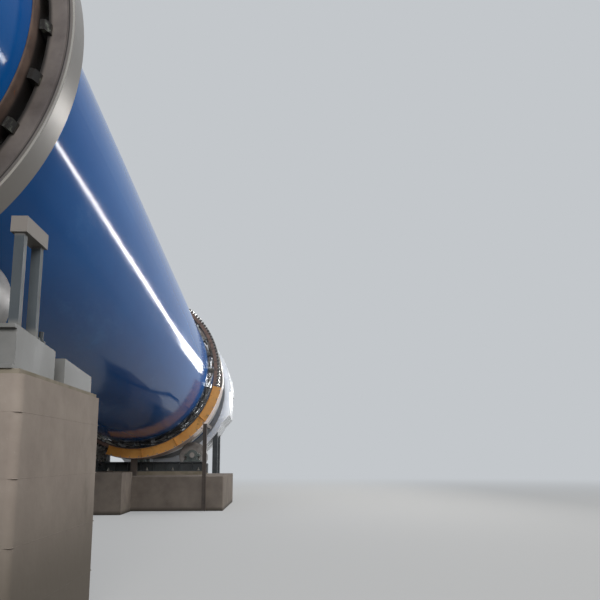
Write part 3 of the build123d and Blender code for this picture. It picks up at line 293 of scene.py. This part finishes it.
FINISH = {
    BLUE_ENAMEL: ["shell_feed_section", "shell_middle_section", "shell_discharge_section"],
    TYRE_STEEL: ["near_tyre", "far_tyre"],
    RUSTY_PLATE: ["near_wrapper", "far_wrapper", "feed_dam"],
    PAD_PRIMER: ["near_tyre_pads", "far_tyre_pads"],
    GEAR_STEEL: ["girth_gear"],
    PINION_STEEL: ["pinion"],
    SPRING_STEEL: ["gear_spring_plates"],
    ROLLER_STEEL: ["near_roller_left", "near_roller_right", "far_roller_left",
                   "far_roller_right", "thrust_roller_uphill", "thrust_roller_downhill"],
    AMBER_ENAMEL: ["gear_guard"],
    COVER_ENAMEL: ["coupling_covers"],
    GREY_PAINT: ["near_base_frame", "discharge_seal", "feed_seal", "feed_chute"],
    STAND_PAINT: ["near_guard_stand"],
    POST_PRIMER: ["guard_supports"],
    DARK_PAINT: ["near_roller_frame", "far_roller_frame", "pinion_pedestal", "drive_base",
                 "discharge_legs", "feed_legs"],
    GREEN_ENAMEL: ["near_bearings", "far_bearings", "thrust_housings", "pinion_bearings",
                   "pinion_coupling", "reducer", "input_coupling", "motor"],
    SILVER_PAINT: ["discharge_hood", "feed_hood", "feed_end_plate", "feed_inner_plate",
                   "gas_neck"],
    CONCRETE: ["near_pier"],
    PLINTH_CONCRETE: ["main_plinth", "drive_plinth"],
    GROUT: ["near_grout", "far_grout"],
}
for material, names in FINISH.items():
    for name in names:
        nodes[name].data.materials.clear()
        nodes[name].data.materials.append(material)


# Shapes

ACROSS = np.array((1.0, 0.0, 0.0))
ALONG = np.array((0.0, math.cos(SLOPE), -math.sin(SLOPE)))
DOWN = np.array((0.0, -math.sin(SLOPE), -math.cos(SLOPE)))
CENTRE = np.array((0.0, 0.0, AXIS_HEIGHT))


def at(station, across=0.0, down=0.0):
    """World places of arrays of station, across and down in the drum's own directions."""
    station, across, down = np.broadcast_arrays(station, across, down)
    return (CENTRE + station[..., None] * ALONG + across[..., None] * ACROSS
            + down[..., None] * DOWN)


def piece(name, points, faces, finish, body, smooth=True):
    """A mesh object from point and face arrays, riding on a CAD body."""
    mesh = bpy.data.meshes.new(name)
    mesh.from_pydata(np.asarray(points).reshape(-1, 3).tolist(), [], faces)
    mesh.materials.append(finish)
    mesh.polygons.foreach_set("use_smooth", [smooth] * len(mesh.polygons))
    mesh.update()
    thing = bpy.data.objects.new(name, mesh)
    bpy.context.scene.collection.objects.link(thing)
    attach(thing, body)
    return thing


def grid_faces(rows, columns, wrap_rows, wrap_columns, start=0):
    """Quads of a grid of points, row by row, joined round where it wraps."""
    r = np.arange(rows if wrap_rows else rows - 1)
    c = np.arange(columns if wrap_columns else columns - 1)
    r, c = np.meshgrid(r, c, indexing="ij")
    r1, c1 = (r + 1) % rows, (c + 1) % columns
    quads = np.stack([r * columns + c, r * columns + c1, r1 * columns + c1, r1 * columns + c], -1)
    return quads.reshape(-1, 4) + start


def copies(template, faces, centres, u, v, w):
    """One template, given as offsets along u, v and w, set down at every centre."""
    centres = np.asarray(centres, float).reshape(-1, 1, 3)
    u, v, w = (np.broadcast_to(np.asarray(a, float).reshape(-1, 1, 3),
                               (len(centres), 1, 3)) for a in (u, v, w))
    points = centres + template[:, :1] * u + template[:, 1:2] * v + template[:, 2:] * w
    shift = (np.arange(len(centres)) * len(template))[:, None]
    every = []
    for face in faces:
        every += (np.asarray(face)[None, :] + shift).tolist()
    return points.reshape(-1, 3), every


def sides_of(w):
    """Two directions square to each of the directions w, and to each other."""
    w = np.asarray(w, float).reshape(-1, 3)
    w = w / np.linalg.norm(w, axis=1, keepdims=True)
    helper = np.where(np.abs(w[:, :1]) < 0.8, [[1.0, 0.0, 0.0]], [[0.0, 1.0, 0.0]])
    u = np.cross(helper, w)
    u /= np.linalg.norm(u, axis=1, keepdims=True)
    return u, np.cross(w, u), w


# A hexagon head and its washer, as shares of the head's width over the flats
WASHER_RADIUS = 0.72
WASHER_THICK = 0.12
CHAMFER_START = 0.68
HEAD_TOP = 0.8
CHAMFER_RADIUS = 0.84
STUD_RADIUS = 0.3


def bolts(name, centres, normals, flats, stud=0.0, finish=BOLT_STEEL, body="base"):
    """Hex heads or nuts on washers: their width over the flats, and how far a stud stands above
    its nut. Six corners lie on each of several circles about the bolt's axis: two circles for
    the washer, two for the head and a smaller one at its chamfered top, and for a stud two
    small ones above it."""
    half = flats / math.sqrt(3)
    washer, thick, top = WASHER_RADIUS * flats, WASHER_THICK * flats, HEAD_TOP * flats
    rows = [(washer, 0.0), (washer, thick), (half, thick), (half, CHAMFER_START * flats),
            (CHAMFER_RADIUS * half, top)]
    if stud:
        rows += [(STUD_RADIUS * flats, top), (STUD_RADIUS * flats, top + stud)]
    turn = np.arange(6) * math.pi / 3
    template = np.concatenate([np.stack([r * np.cos(turn), r * np.sin(turn), np.full(6, h)], 1)
                               for r, h in rows])
    faces = grid_faces(len(rows), 6, False, True)[:, ::-1].tolist()
    faces.append([(len(rows) - 1) * 6 + k for k in range(6)])
    centres = np.asarray(centres, float).reshape(-1, 3)
    u, v, w = sides_of(np.broadcast_to(np.asarray(normals, float).reshape(-1, 3),
                                       centres.shape))
    points, every = copies(template, faces, centres, u, v, w)
    return piece(name, points, every, finish, body, smooth=False)


def turned(name, profile, finish, body, arc=(0.0, 360.0), steps=160):
    """Closed profile of radius and station carried round the drum's axis."""
    profile = np.asarray(profile, float)
    whole = arc[1] - arc[0] >= 360
    turn = np.radians(np.linspace(arc[0], arc[1], steps, endpoint=not whole))[:, None]
    points = at(profile[:, 1] + 0 * turn, profile[:, 0] * np.cos(turn),
                profile[:, 0] * np.sin(turn))
    faces = grid_faces(steps, len(profile), whole, True).tolist()
    if not whole:
        n = len(profile)
        faces += [list(range(n))[::-1], [(steps - 1) * n + k for k in range(n)]]
    return piece(name, points, faces, finish, body)


def bar(low, high, start, end):
    """Square-cornered profile between two radii and two stations."""
    return [(low, start), (high, start), (high, end), (low, end)]


# Weld beads: height and half width, points round the half circle, how deep its foot lies, and the
# step round the drum in degrees
BEAD_HIGH = 0.002
BEAD_WIDE = 0.009
BEAD_POINTS = 7
BEAD_SUNK = 0.002
BEAD_STEP = 2.0


def weld_rings(name, radius, stations, finish, body, high=BEAD_HIGH, wide=BEAD_WIDE):
    """Girth welds: at each station a half circle, flattened to the bead's height, is carried
    round the drum's axis."""
    turn = np.radians(np.arange(0, 360, BEAD_STEP))[:, None]
    half = np.linspace(0, math.pi, BEAD_POINTS)
    lift = radius - BEAD_SUNK + high * np.sin(half)
    points, faces = [], []
    for k, station in enumerate(stations):
        points.append(at(station + wide * np.cos(half) + 0 * turn, lift * np.cos(turn),
                         lift * np.sin(turn)).reshape(-1, 3))
        start = k * turn.size * BEAD_POINTS
        faces += grid_faces(len(turn), BEAD_POINTS, True, True, start).tolist()
    return piece(name, np.concatenate(points), faces, finish, body)


def weld_lines(name, radius, runs, finish, body):
    """Straight welds along the drum; each run is an angle and two stations, and the same half
    circle is drawn out from the one to the other."""
    half = np.linspace(0, math.pi, BEAD_POINTS)
    lift = radius - BEAD_SUNK + BEAD_HIGH * np.sin(half)
    angle = np.radians(runs[:, :1]) + BEAD_WIDE * np.cos(half) / radius
    ends = runs[:, 1:, None] + np.zeros(BEAD_POINTS)
    points = at(ends, (lift * np.cos(angle))[:, None, :], (lift * np.sin(angle))[:, None, :])
    faces = []
    for start in np.arange(len(runs)) * 2 * BEAD_POINTS:
        faces += grid_faces(2, BEAD_POINTS, False, True, start).tolist()
        cap = (start + np.arange(BEAD_POINTS)).tolist()
        faces += [cap, [k + BEAD_POINTS for k in cap][::-1]]
    return piece(name, points, faces, finish, body)


# Fastenings, welds and casting marks

# How far trim is let into what carries it
SUNK = 0.004
# The two ends, or the two sides, of a thing
ENDS = np.array((-1.0, 1.0))

ROLLER_ACROSS = 1.09216
ROLLER_DOWN = 1.68179
BEARING_OFFSET = 0.29
BEARING_CENTRE = 0.14
BEARING_FOOT_THICK = 0.034
BEARING_FOOT_TOP = BEARING_CENTRE - BEARING_FOOT_THICK
BEARING_BOLT = 0.15
CAP_BOLT = 0.142
CAP_BOLT_STEP = 0.032
CAP_TOP = -0.022
PINION_ACROSS = -0.858931
PINION_DOWN = 1.722749
PINION_BEARINGS = 0.33
FRAME_BASE = 2.021786
FLANGE_THICK = 0.018
FRAME_PITCH = 0.2748
ROLLER_STATIONS = (NEAR_TYRE, FAR_TYRE)

# Mild steel welds under the enamel, so the beads are blue like the plate. None lies under a tyre
# or the gear
WELD_CLEAR = ((NEAR_TYRE, 0.35), (FAR_TYRE, 0.35), (GEAR_STATION, 0.2))
LAST_PLATE = 0.6
SEAM_INSET = 0.01
SEAM_TURNS = (-38.0, 52.0)
WRAPPER_REACH = 0.17
FILLET_HIGH = 0.011
FILLET_WIDE = 0.012
shell_rings = np.arange(SHELL_START + PLATE_SEAM, SHELL_END - LAST_PLATE, PLATE_SEAM)
for station, clear in WELD_CLEAR:
    shell_rings = shell_rings[np.abs(shell_rings - station) > clear]
weld_rings("shell_girth_welds", SHELL_RADIUS, shell_rings, BLUE_ENAMEL, "drum")
edges = np.concatenate([[SHELL_START + SEAM_INSET], shell_rings, [SHELL_END - SEAM_INSET]])
seam_turn = np.where(np.arange(len(edges) - 1) % 2, *SEAM_TURNS)
weld_lines("shell_long_welds", SHELL_RADIUS, np.stack([seam_turn, edges[:-1], edges[1:]], 1),
           BLUE_ENAMEL, "drum")
wrapper_end = TYRE_WIDTH / 2 + WRAPPER_REACH
weld_rings("wrapper_fillet_welds", SHELL_RADIUS + BEAD_SUNK,
           [tyre + end * wrapper_end for tyre in ROLLER_STATIONS for end in ENDS],
           RUSTY_PLATE, "drum", FILLET_HIGH, FILLET_WIDE)


def block_bolts(station, across, down, offset):
    """Places of the foot bolts and of the cap bolts of a pair of pillow blocks."""
    s, a = np.meshgrid(station + offset * ENDS, across + BEARING_BOLT * ENDS, indexing="ij")
    foot = at(s, a, down + BEARING_FOOT_TOP).reshape(-1, 3)
    s, a, t = np.meshgrid(station + offset * ENDS, across + CAP_BOLT * ENDS,
                          CAP_BOLT_STEP * ENDS, indexing="ij")
    return foot, at(s + t, a, down + CAP_TOP).reshape(-1, 3)


foot_places, cap_places = [], []
for station in ROLLER_STATIONS:
    for side in ENDS:
        foot, cap = block_bolts(station, side * ROLLER_ACROSS, ROLLER_DOWN, BEARING_OFFSET)
        foot_places.append(foot)
        cap_places.append(cap)
foot, cap = block_bolts(GEAR_STATION, PINION_ACROSS, PINION_DOWN, PINION_BEARINGS)
bolts("bearing_foot_bolts", np.concatenate(foot_places + [foot]), -DOWN, flats=0.044, stud=0.02)
bolts("bearing_cap_bolts", np.concatenate(cap_places + [cap]), -DOWN, flats=0.03)

# Holding-down studs of the roller frames, on both flanges of each beam
STUD_STEPS = np.array((-4.5, -2.5, -0.5, 0.5, 2.5, 4.5))
STUD_OFFSET = 0.075
s, a, t = np.meshgrid(BEARING_OFFSET * ENDS, FRAME_PITCH * STUD_STEPS, STUD_OFFSET * ENDS,
                      indexing="ij")
studs = [at(station + s + t, a, FRAME_BASE - FLANGE_THICK).reshape(-1, 3)
         for station in ROLLER_STATIONS]
bolts("frame_holding_studs", np.concatenate(studs), -DOWN, flats=0.042, stud=0.03)


def bevelled(name, boxes, finish, edge):
    """Plates and bars as boxes between a low and a high corner, their edges rounded by a Bevel."""
    boxes = np.asarray(boxes, float)
    low, high = boxes[:, 0], boxes[:, 1]
    pick = np.array([[0, 0, 0], [1, 0, 0], [1, 1, 0], [0, 1, 0],
                     [0, 0, 1], [1, 0, 1], [1, 1, 1], [0, 1, 1]])
    points = low[:, None] * (1 - pick) + high[:, None] * pick
    faces = [(0, 3, 2, 1), (4, 5, 6, 7), (0, 1, 5, 4), (1, 2, 6, 5), (2, 3, 7, 6), (3, 0, 4, 7)]
    shift = np.arange(len(boxes))[:, None] * 8
    every = np.concatenate([np.array(face)[None] + shift for face in faces]).tolist()
    thing = piece(name, points, every, finish, "base", smooth=False)
    rounding = thing.modifiers.new("rounded_edges", "BEVEL")
    rounding.width = edge
    rounding.segments = 2
    return thing


# Gear guard: rim bar, joint flanges, and fixings along the front plate
GUARD_INNER = 1.63
GUARD_FLANGE = 1.80
GUARD_FIXING = 1.786
GUARD_FRONT = -0.701
GUARD_ARC = (11.8, 107.5)
GUARD_JOINTS = (36.0, 60.0, 84.0)
JOINT_HALF = 0.3
JOINT_PROUD = 0.02
FIXING_TURNS = np.arange(14.0, 107.0, 6.0)
RIM_BAR_HIGH = 0.014
RIM_BAR_PROUD = 0.006
RIM_BAR_SUNK = 0.001


def arc_places(radius, station, angles):
    """Places on a circle about the drum's axis: angles in degrees from level, on the side away
    from the drive, downwards."""
    angles = np.radians(np.asarray(angles, float))
    return at(station, radius * np.cos(angles), radius * np.sin(angles))


turned("guard_rim_bar", bar(GUARD_INNER - SUNK, GUARD_INNER + RIM_BAR_HIGH,
                            GUARD_FRONT - RIM_BAR_PROUD, GUARD_FRONT + RIM_BAR_SUNK),
       AMBER_ENAMEL, "base", GUARD_ARC, steps=80)
for k, joint in enumerate(GUARD_JOINTS):
    turned("guard_joint_%d" % k,
           bar(GUARD_INNER, GUARD_FLANGE, GUARD_FRONT - JOINT_PROUD, GUARD_FRONT),
           AMBER_ENAMEL, "base", (joint - JOINT_HALF, joint + JOINT_HALF), steps=3)
bolts("guard_fixings", arc_places(GUARD_FIXING, GUARD_FRONT, FIXING_TURNS), -ALONG, flats=0.019)

# Spring plates: two rows of three rivets through each foot. They are laid out on the lowest
# plate, whose foot is level, and that pattern is turned about the drum's axis
SPRING_COUNT = 28
SPRING_TOP = 1.533
RIVET_ROWS = (0.03, 0.07)
RIVET_STEPS = (-0.06, 0.0, 0.06)
turns = np.radians(np.arange(SPRING_COUNT) * 360.0 / SPRING_COUNT)[:, None, None]
x, over = np.meshgrid(RIVET_ROWS, RIVET_STEPS, indexing="ij")
rivets = at(GEAR_STATION + over + 0 * turns, x * np.cos(turns) - SPRING_TOP * np.sin(turns),
            x * np.sin(turns) + SPRING_TOP * np.cos(turns)).reshape(-1, 3)
outward = np.repeat((-np.sin(turns) * ACROSS + np.cos(turns) * DOWN).reshape(-1, 3), x.size, 0)
bolts("spring_foot_rivets", rivets, outward, flats=0.026, body="drum")

# Reducer: bolts along the split line and on the feet, breather and dipstick
REDUCER_START = -2.24
REDUCER_END = -1.58
REDUCER_LEFT = -1.703931
REDUCER_RIGHT = -0.603931
REDUCER_HEAD = 0.5
REDUCER_CENTRE = 0.33
REDUCER_FOOT = 0.04
REDUCER_FOOT_TOP = REDUCER_CENTRE - REDUCER_FOOT
SPLIT_FLANGE = 0.018
SPLIT_END = 0.04
SPLIT_SIDE = 0.02
inset = np.linspace(REDUCER_START + SPLIT_END, REDUCER_END - SPLIT_END, 6)
side = np.array((REDUCER_LEFT + SPLIT_SIDE, REDUCER_RIGHT - SPLIT_SIDE))
s, a = np.meshgrid(inset, side, indexing="ij")
bolts("reducer_split_bolts", at(s, a, PINION_DOWN - SPLIT_FLANGE), -DOWN, flats=0.024)
s, a = np.meshgrid(inset[[0, 2, 3, 5]], side, indexing="ij")
bolts("reducer_foot_bolts", at(s, a, PINION_DOWN + REDUCER_FOOT_TOP), -DOWN, flats=0.032,
      stud=0.02)


# Fittings on the reducer's top: station and distance across, and profile of radius and height
BREATHER = (-1.8, -1.45)
BREATHER_PROFILE = ((0, -0.01), (0.018, -0.01), (0.018, 0.03), (0.034, 0.034), (0.036, 0.07),
                    (0.028, 0.086), (0, 0.09))
DIPSTICK = (-2.12, -1.55)
DIPSTICK_PROFILE = ((0, -0.01), (0.012, -0.01), (0.012, 0.05), (0.022, 0.055), (0.024, 0.07),
                    (0.014, 0.084), (0, 0.086))
KNOB_STEP = 22.5


def knob(name, place, profile, finish):
    """Small turned fitting on the reducer's top: its profile carried round a line that stands
    square to the drum's axis."""
    profile = np.asarray(profile, float)
    turn = np.radians(np.arange(0, 360, KNOB_STEP))[:, None]
    points = at(place[0] + profile[:, 0] * np.cos(turn), place[1] + profile[:, 0] * np.sin(turn),
                PINION_DOWN - REDUCER_HEAD - profile[:, 1])
    faces = grid_faces(len(turn), len(profile), True, False).tolist()
    return piece(name, points, faces, finish, "base")


knob("reducer_breather", BREATHER, BREATHER_PROFILE, GREEN_ENAMEL)
knob("reducer_dipstick", DIPSTICK, DIPSTICK_PROFILE, BOLT_STEEL)

# Hoods: stiffening hoops of flat bar on edge. The discharge hood's run over its top only, and its
# middle one gives way to the exhaust neck
HOOD_RADIUS = 1.75
DISCHARGE_START = 2.34
FEED_START = -17.9
HOOD_LENGTH = 1.28
HOOD_MIDDLE = HOOD_LENGTH / 2
HOOP_EDGE = 0.03
HOOP_PROUD = 0.03
HOOP_HALF = 0.006
hoop = bar(HOOD_RADIUS - SUNK, HOOD_RADIUS + HOOP_PROUD, -HOOP_HALF, HOOP_HALF)
for k, place in enumerate((HOOP_EDGE, HOOD_MIDDLE, HOOD_LENGTH - HOOP_EDGE)):
    if place != HOOD_MIDDLE:
        turned("discharge_hoop_%d" % k, np.add(hoop, (0, DISCHARGE_START + place)), SILVER_PAINT,
               "base", (-180.0, 0.0), steps=120)
    turned("feed_hoop_%d" % k, np.add(hoop, (0, FEED_START + place)), SILVER_PAINT, "base")

# Bolts round the seal plates
SEAL_THICK = 0.02
SEAL_BOLT_RADIUS = 1.59
SEAL_TURNS = np.arange(0, 360, 10.0)
seal_places = [arc_places(SEAL_BOLT_RADIUS, station, SEAL_TURNS)
               for station in (DISCHARGE_START - SEAL_THICK,
                               FEED_START + HOOD_LENGTH + SEAL_THICK)]
bolts("seal_bolts", np.concatenate(seal_places),
      np.repeat([-ALONG, ALONG], len(SEAL_TURNS), 0), flats=0.024)

# Flange bolts: on circles at the two round necks, on squares at the outlet and the chute, with
# their heads on the side of the flange that a duct would leave free
FLANGE_BOLT = 0.03
FLANGE_TURNS = np.radians(np.arange(0.0, 360.0, 20.0))
EXHAUST_BOLTS = 0.51
EXHAUST_DOWN = -1.956
GAS_BOLTS = 0.63
GAS_STATION = -18.146
GAS_DOWN = 0.45
OUTLET_BOLTS = 0.33
OUTLET_DOWN = 2.216
CHUTE_BOLTS = 0.288
CHUTE_ELBOW = (-18.22, -0.72)
CHUTE_UP = 0.886
CHUTE_LEAN = (0.819, 0.574)
neck_station = DISCHARGE_START + HOOD_MIDDLE
bolts("exhaust_flange_bolts", at(neck_station + EXHAUST_BOLTS * np.cos(FLANGE_TURNS),
                                 EXHAUST_BOLTS * np.sin(FLANGE_TURNS), EXHAUST_DOWN), DOWN,
      FLANGE_BOLT)
bolts("gas_flange_bolts", at(GAS_STATION, GAS_BOLTS * np.cos(FLANGE_TURNS),
                             GAS_DOWN + GAS_BOLTS * np.sin(FLANGE_TURNS)), ALONG, FLANGE_BOLT)
run = np.linspace(-1.0, 1.0, 5)[:-1]
square = np.concatenate([np.column_stack(pair) for pair in (
    (run, run * 0 - 1), (run * 0 + 1, run), (-run, run * 0 + 1), (run * 0 - 1, -run))])
bolts("outlet_flange_bolts", at(neck_station + OUTLET_BOLTS * square[:, 0],
                                OUTLET_BOLTS * square[:, 1], OUTLET_DOWN), -DOWN, FLANGE_BOLT)
chute_run = CHUTE_LEAN[0] * DOWN + CHUTE_LEAN[1] * ALONG
chute_over = CHUTE_LEAN[0] * ALONG - CHUTE_LEAN[1] * DOWN
chute_top = at(np.array(CHUTE_ELBOW[:1]), 0.0, CHUTE_ELBOW[1]) - CHUTE_UP * chute_run
bolts("chute_flange_bolts",
      chute_top + CHUTE_BOLTS * (square[:, :1] * ACROSS + square[:, 1:] * chute_over), chute_run,
      FLANGE_BOLT)

# Anchor bolts at the four corners of each leg's foot plate
LEG_ACROSS = 1.4
LEG_PLACES = (0.24, 1.04)
FOOT_TOP = 0.02
ANCHOR_STEP = 0.1
foot = np.array([(side * LEG_ACROSS, start + place) for side in ENDS
                 for start in (DISCHARGE_START, FEED_START) for place in LEG_PLACES])
feet = at(foot[:, 1], foot[:, 0], LEG_ACROSS) * (1, 1, 0) + (0, 0, FOOT_TOP)
corners = ANCHOR_STEP * np.array([(-1, -1, 0), (1, -1, 0), (-1, 1, 0), (1, 1, 0)])
bolts("leg_anchor_bolts", feet[:, None] + corners, (0, 0, 1), flats=0.034, stud=0.03)

# Concrete: fins left at the gaps between the boards of the forms. Blocks are given by their low
# and high sides in X and Y, then the size of their cut corners
PIER = (-1.8, 1.8, -13.2277, -11.6677, 0.013)
PLINTH = (-1.9, 1.9, -1.575, 1.575, 0.008)
BOARD_FINS = (0.3, 0.6, 0.9, 1.2)
FIN_HALF = 0.003
FIN_PROUD = 0.001
FIN_SUNK = 0.002


def board_fins(name, block, heights, finish):
    """Thin ridges round a block's four sides at each height: a small triangle is carried round a
    rectangle whose corners are cut off."""
    x0, x1, y0, y1, c = block
    path = np.array([(x0 + c, y0), (x1 - c, y0), (x1, y0 + c), (x1, y1 - c), (x1 - c, y1),
                     (x0 + c, y1), (x0, y1 - c), (x0, y0 + c)])
    middle = np.array(((x0 + x1) / 2, (y0 + y1) / 2))
    grow = np.sign(path - middle)
    points, faces = [], []
    for k, height in enumerate(heights):
        rings = [np.column_stack([path + grow * out, np.full(8, height + up)])
                 for out, up in ((-FIN_SUNK, -FIN_HALF), (FIN_PROUD, 0.0),
                                 (-FIN_SUNK, FIN_HALF))]
        points.append(np.stack(rings, 1).reshape(-1, 3))
        faces += grid_faces(8, 3, True, True, k * 24).tolist()
    return piece(name, np.concatenate(points), faces, finish, "base", smooth=False)


board_fins("pier_board_fins", PIER, BOARD_FINS, CONCRETE)
board_fins("plinth_board_fins", PLINTH, BOARD_FINS[:2], PLINTH_CONCRETE)


# Near base girders: web stiffeners and edge flanges on the front one, and holding-down nuts
BASE_HALF = 1.745
BASE_FOOT = 1.4
GIRDER_FRONT = NEAR_TYRE - 0.74
GIRDER_FLANGE = 0.02
FLANGE_DEEP = 0.035
WEB_HALF = 0.006
WEB_DEEP = 0.03
STIFFENER_STEPS = np.arange(-1.5, 1.51, 0.6)
HOLDING_STEPS = np.array((0.44, 0.54))
HOLDING_ACROSS = 1.69
front_y, front_top = at(np.array(GIRDER_FRONT), 0.0, FRAME_BASE)[1:]
sunk_y = front_y + SUNK
bevelled("girder_front_stiffeners",
         [[(x - WEB_HALF, front_y - WEB_DEEP, BASE_FOOT),
           (x + WEB_HALF, sunk_y, front_top - GIRDER_FLANGE)] for x in STIFFENER_STEPS],
         GREY_PAINT, edge=0.0015)
bevelled("girder_front_flanges",
         [[(-BASE_HALF, front_y - FLANGE_DEEP, low), (BASE_HALF, sunk_y, low + GIRDER_FLANGE)]
          for low in (BASE_FOOT, front_top - GIRDER_FLANGE)], GREY_PAINT, edge=0.002)
bolts("girder_holding_studs", at(GIRDER_FRONT + HOLDING_STEPS, HOLDING_ACROSS, FRAME_BASE), -DOWN,
      flats=0.046, stud=0.05, finish=DARK_PAINT)


# Studio

BACKDROP = "#c3c7cb"
# Share of the sky's strength that lights the part
SKY_AS_LIGHT = 0.6
# The floor's half width, the middle and the reach of its fade to the backdrop's colour, and the
# share of that colour where the fade begins
FLOOR_HALF = 150.0
FADE_MIDDLE = (0, -7, 0)
FADE = (10.0, 32.0)
FADE_START = 0.4
VIEW_END = 400


def shown_rays(tree):
    """One for rays from the camera, off mirrors and through glass, nought for light."""
    path = add(tree, "ShaderNodeLightPath")
    seen = add(tree, "ShaderNodeMath", {"operation": "MAXIMUM"},
               {0: path.outputs["Is Camera Ray"], 1: path.outputs["Is Glossy Ray"]})
    seen = add(tree, "ShaderNodeMath", {"operation": "MAXIMUM"},
               {0: seen.outputs["Value"], 1: path.outputs["Is Transmission Ray"]})
    return seen.outputs["Value"]


def stage_material(name, shown, lit):
    """Floor: one colour for the camera and for mirror rays, another for the light that it
    throws back. Over the fade, in metres from the middle of the part, what the camera and
    the mirror rays see turns to the backdrop's own colour, so there is no horizon."""
    material = bpy.data.materials.new(name)
    material.use_nodes = True
    tree = material.node_tree
    tree.nodes.clear()
    seen = shown_rays(tree)
    mixed = add(tree, "ShaderNodeMix", {"data_type": "RGBA", 6: linear(lit), 7: linear(shown)},
                {0: seen})
    paint = add(tree, "ShaderNodeBsdfDiffuse", links={"Color": mixed.outputs[2]})
    place = add(tree, "ShaderNodeTexCoord")
    middle = add(tree, "ShaderNodeVectorMath", {"operation": "DISTANCE", 1: FADE_MIDDLE},
                 {0: place.outputs["Object"]})
    fade = add(tree, "ShaderNodeMapRange",
               {"interpolation_type": "SMOOTHSTEP", "From Min": FADE[0], "From Max": FADE[1],
                "To Min": FADE_START}, {"Value": middle.outputs["Value"]})
    share = add(tree, "ShaderNodeMath", {"operation": "MULTIPLY"},
                {0: fade.outputs["Result"], 1: seen})
    glow = add(tree, "ShaderNodeEmission", {"Color": linear(BACKDROP)})
    both = add(tree, "ShaderNodeMixShader", links={0: share.outputs["Value"],
                                                   1: paint.outputs["BSDF"],
                                                   2: glow.outputs["Emission"]})
    add(tree, "ShaderNodeOutputMaterial", links={"Surface": both.outputs["Shader"]})
    return material


def floor():
    """Plain flat floor, wide enough that its edge lies beyond the fade."""
    mesh = bpy.data.meshes.new("studio_floor")
    mesh.from_pydata([(x * FLOOR_HALF, y * FLOOR_HALF, 0)
                      for x, y in ((-1, -1), (1, -1), (1, 1), (-1, 1))], [], [(0, 1, 2, 3)])
    mesh.materials.append(stage_material("studio_floor_paint", "#b7b4af", "#5f5c58"))
    ground = bpy.data.objects.new("studio_floor", mesh)
    bpy.context.scene.collection.objects.link(ground)


def lamp(name, place, target, size, power):
    """Rectangular soft light aimed at a point, its long side level."""
    data = bpy.data.lights.new(name, "AREA")
    data.shape = "RECTANGLE"
    data.size, data.size_y = size
    data.energy = power
    light = bpy.data.objects.new(name, data)
    light.location = place
    light.rotation_euler = (Vector(target) - Vector(place)).to_track_quat("-Z", "Y").to_euler()
    light.visible_camera = False
    bpy.context.scene.collection.objects.link(light)
    return light


def camera():
    """Camera basis from pitch, yaw and roll, as they were fitted to the photograph."""
    forward = Vector((math.sin(YAW) * math.cos(PITCH), math.cos(YAW) * math.cos(PITCH),
                      math.sin(PITCH)))
    level = Vector((math.cos(YAW), -math.sin(YAW), 0))
    upward = level.cross(forward)
    right = level * math.cos(ROLL) + upward * math.sin(ROLL)
    up = upward * math.cos(ROLL) - level * math.sin(ROLL)
    data = bpy.data.cameras.new("photo_view")
    data.sensor_width = SENSOR
    data.lens = FOCAL_PIXELS / PHOTO_PIXELS * SENSOR
    data.clip_end = VIEW_END
    view = bpy.data.objects.new("photo_view", data)
    basis = Matrix((right, up, -forward)).transposed().to_4x4()
    view.matrix_world = Matrix.Translation(EYE) @ basis
    bpy.context.scene.collection.objects.link(view)
    bpy.context.scene.camera = view


def world():
    """Even pale backdrop, shown whole to the camera and in mirrors, and softer as light."""
    scene_world = bpy.data.worlds.new("studio_sky")
    bpy.context.scene.world = scene_world
    scene_world.use_nodes = True
    tree = scene_world.node_tree
    tree.nodes.clear()
    strength = add(tree, "ShaderNodeMapRange", {"To Min": SKY_AS_LIGHT, "To Max": 1.0},
                   {"Value": shown_rays(tree)})
    sky = add(tree, "ShaderNodeBackground", {"Color": linear(BACKDROP)},
              {"Strength": strength.outputs["Result"]})
    add(tree, "ShaderNodeOutputWorld", links={"Surface": sky.outputs["Background"]})


floor()
camera()
world()
# The strip's mirror image is the streak along the drum, so the soft lamp beside it shows none
lamp("aisle_strip", (8.0, 21.0, 5.4), (0.0, 21.0, 3.0), (52.0, 0.3), 1500)
soft = lamp("aisle_soft", (14.0, -2.0, 13.0), (0.0, -4.0, 2.7), (36.0, 5.0), 1000)
soft.visible_glossy = False
lamp("end_window", (7.2, 30.0, 5.3), (0, -3.0, 2.5), (3.4, 2.0), 170)
lamp("key", (5.0, -28.0, 7.0), (0, -12.0, 1.8), (8, 6), 1900)
lamp("overhead", (0.0, -7.0, 14.0), (0, -7.0, 0), (26, 12), 900)
lamp("back_fill", (-12.0, -4.0, 7.0), (0, -7.0, 2.5), (16, 5), 700)
bpy.context.scene.view_settings.view_transform = "Standard"
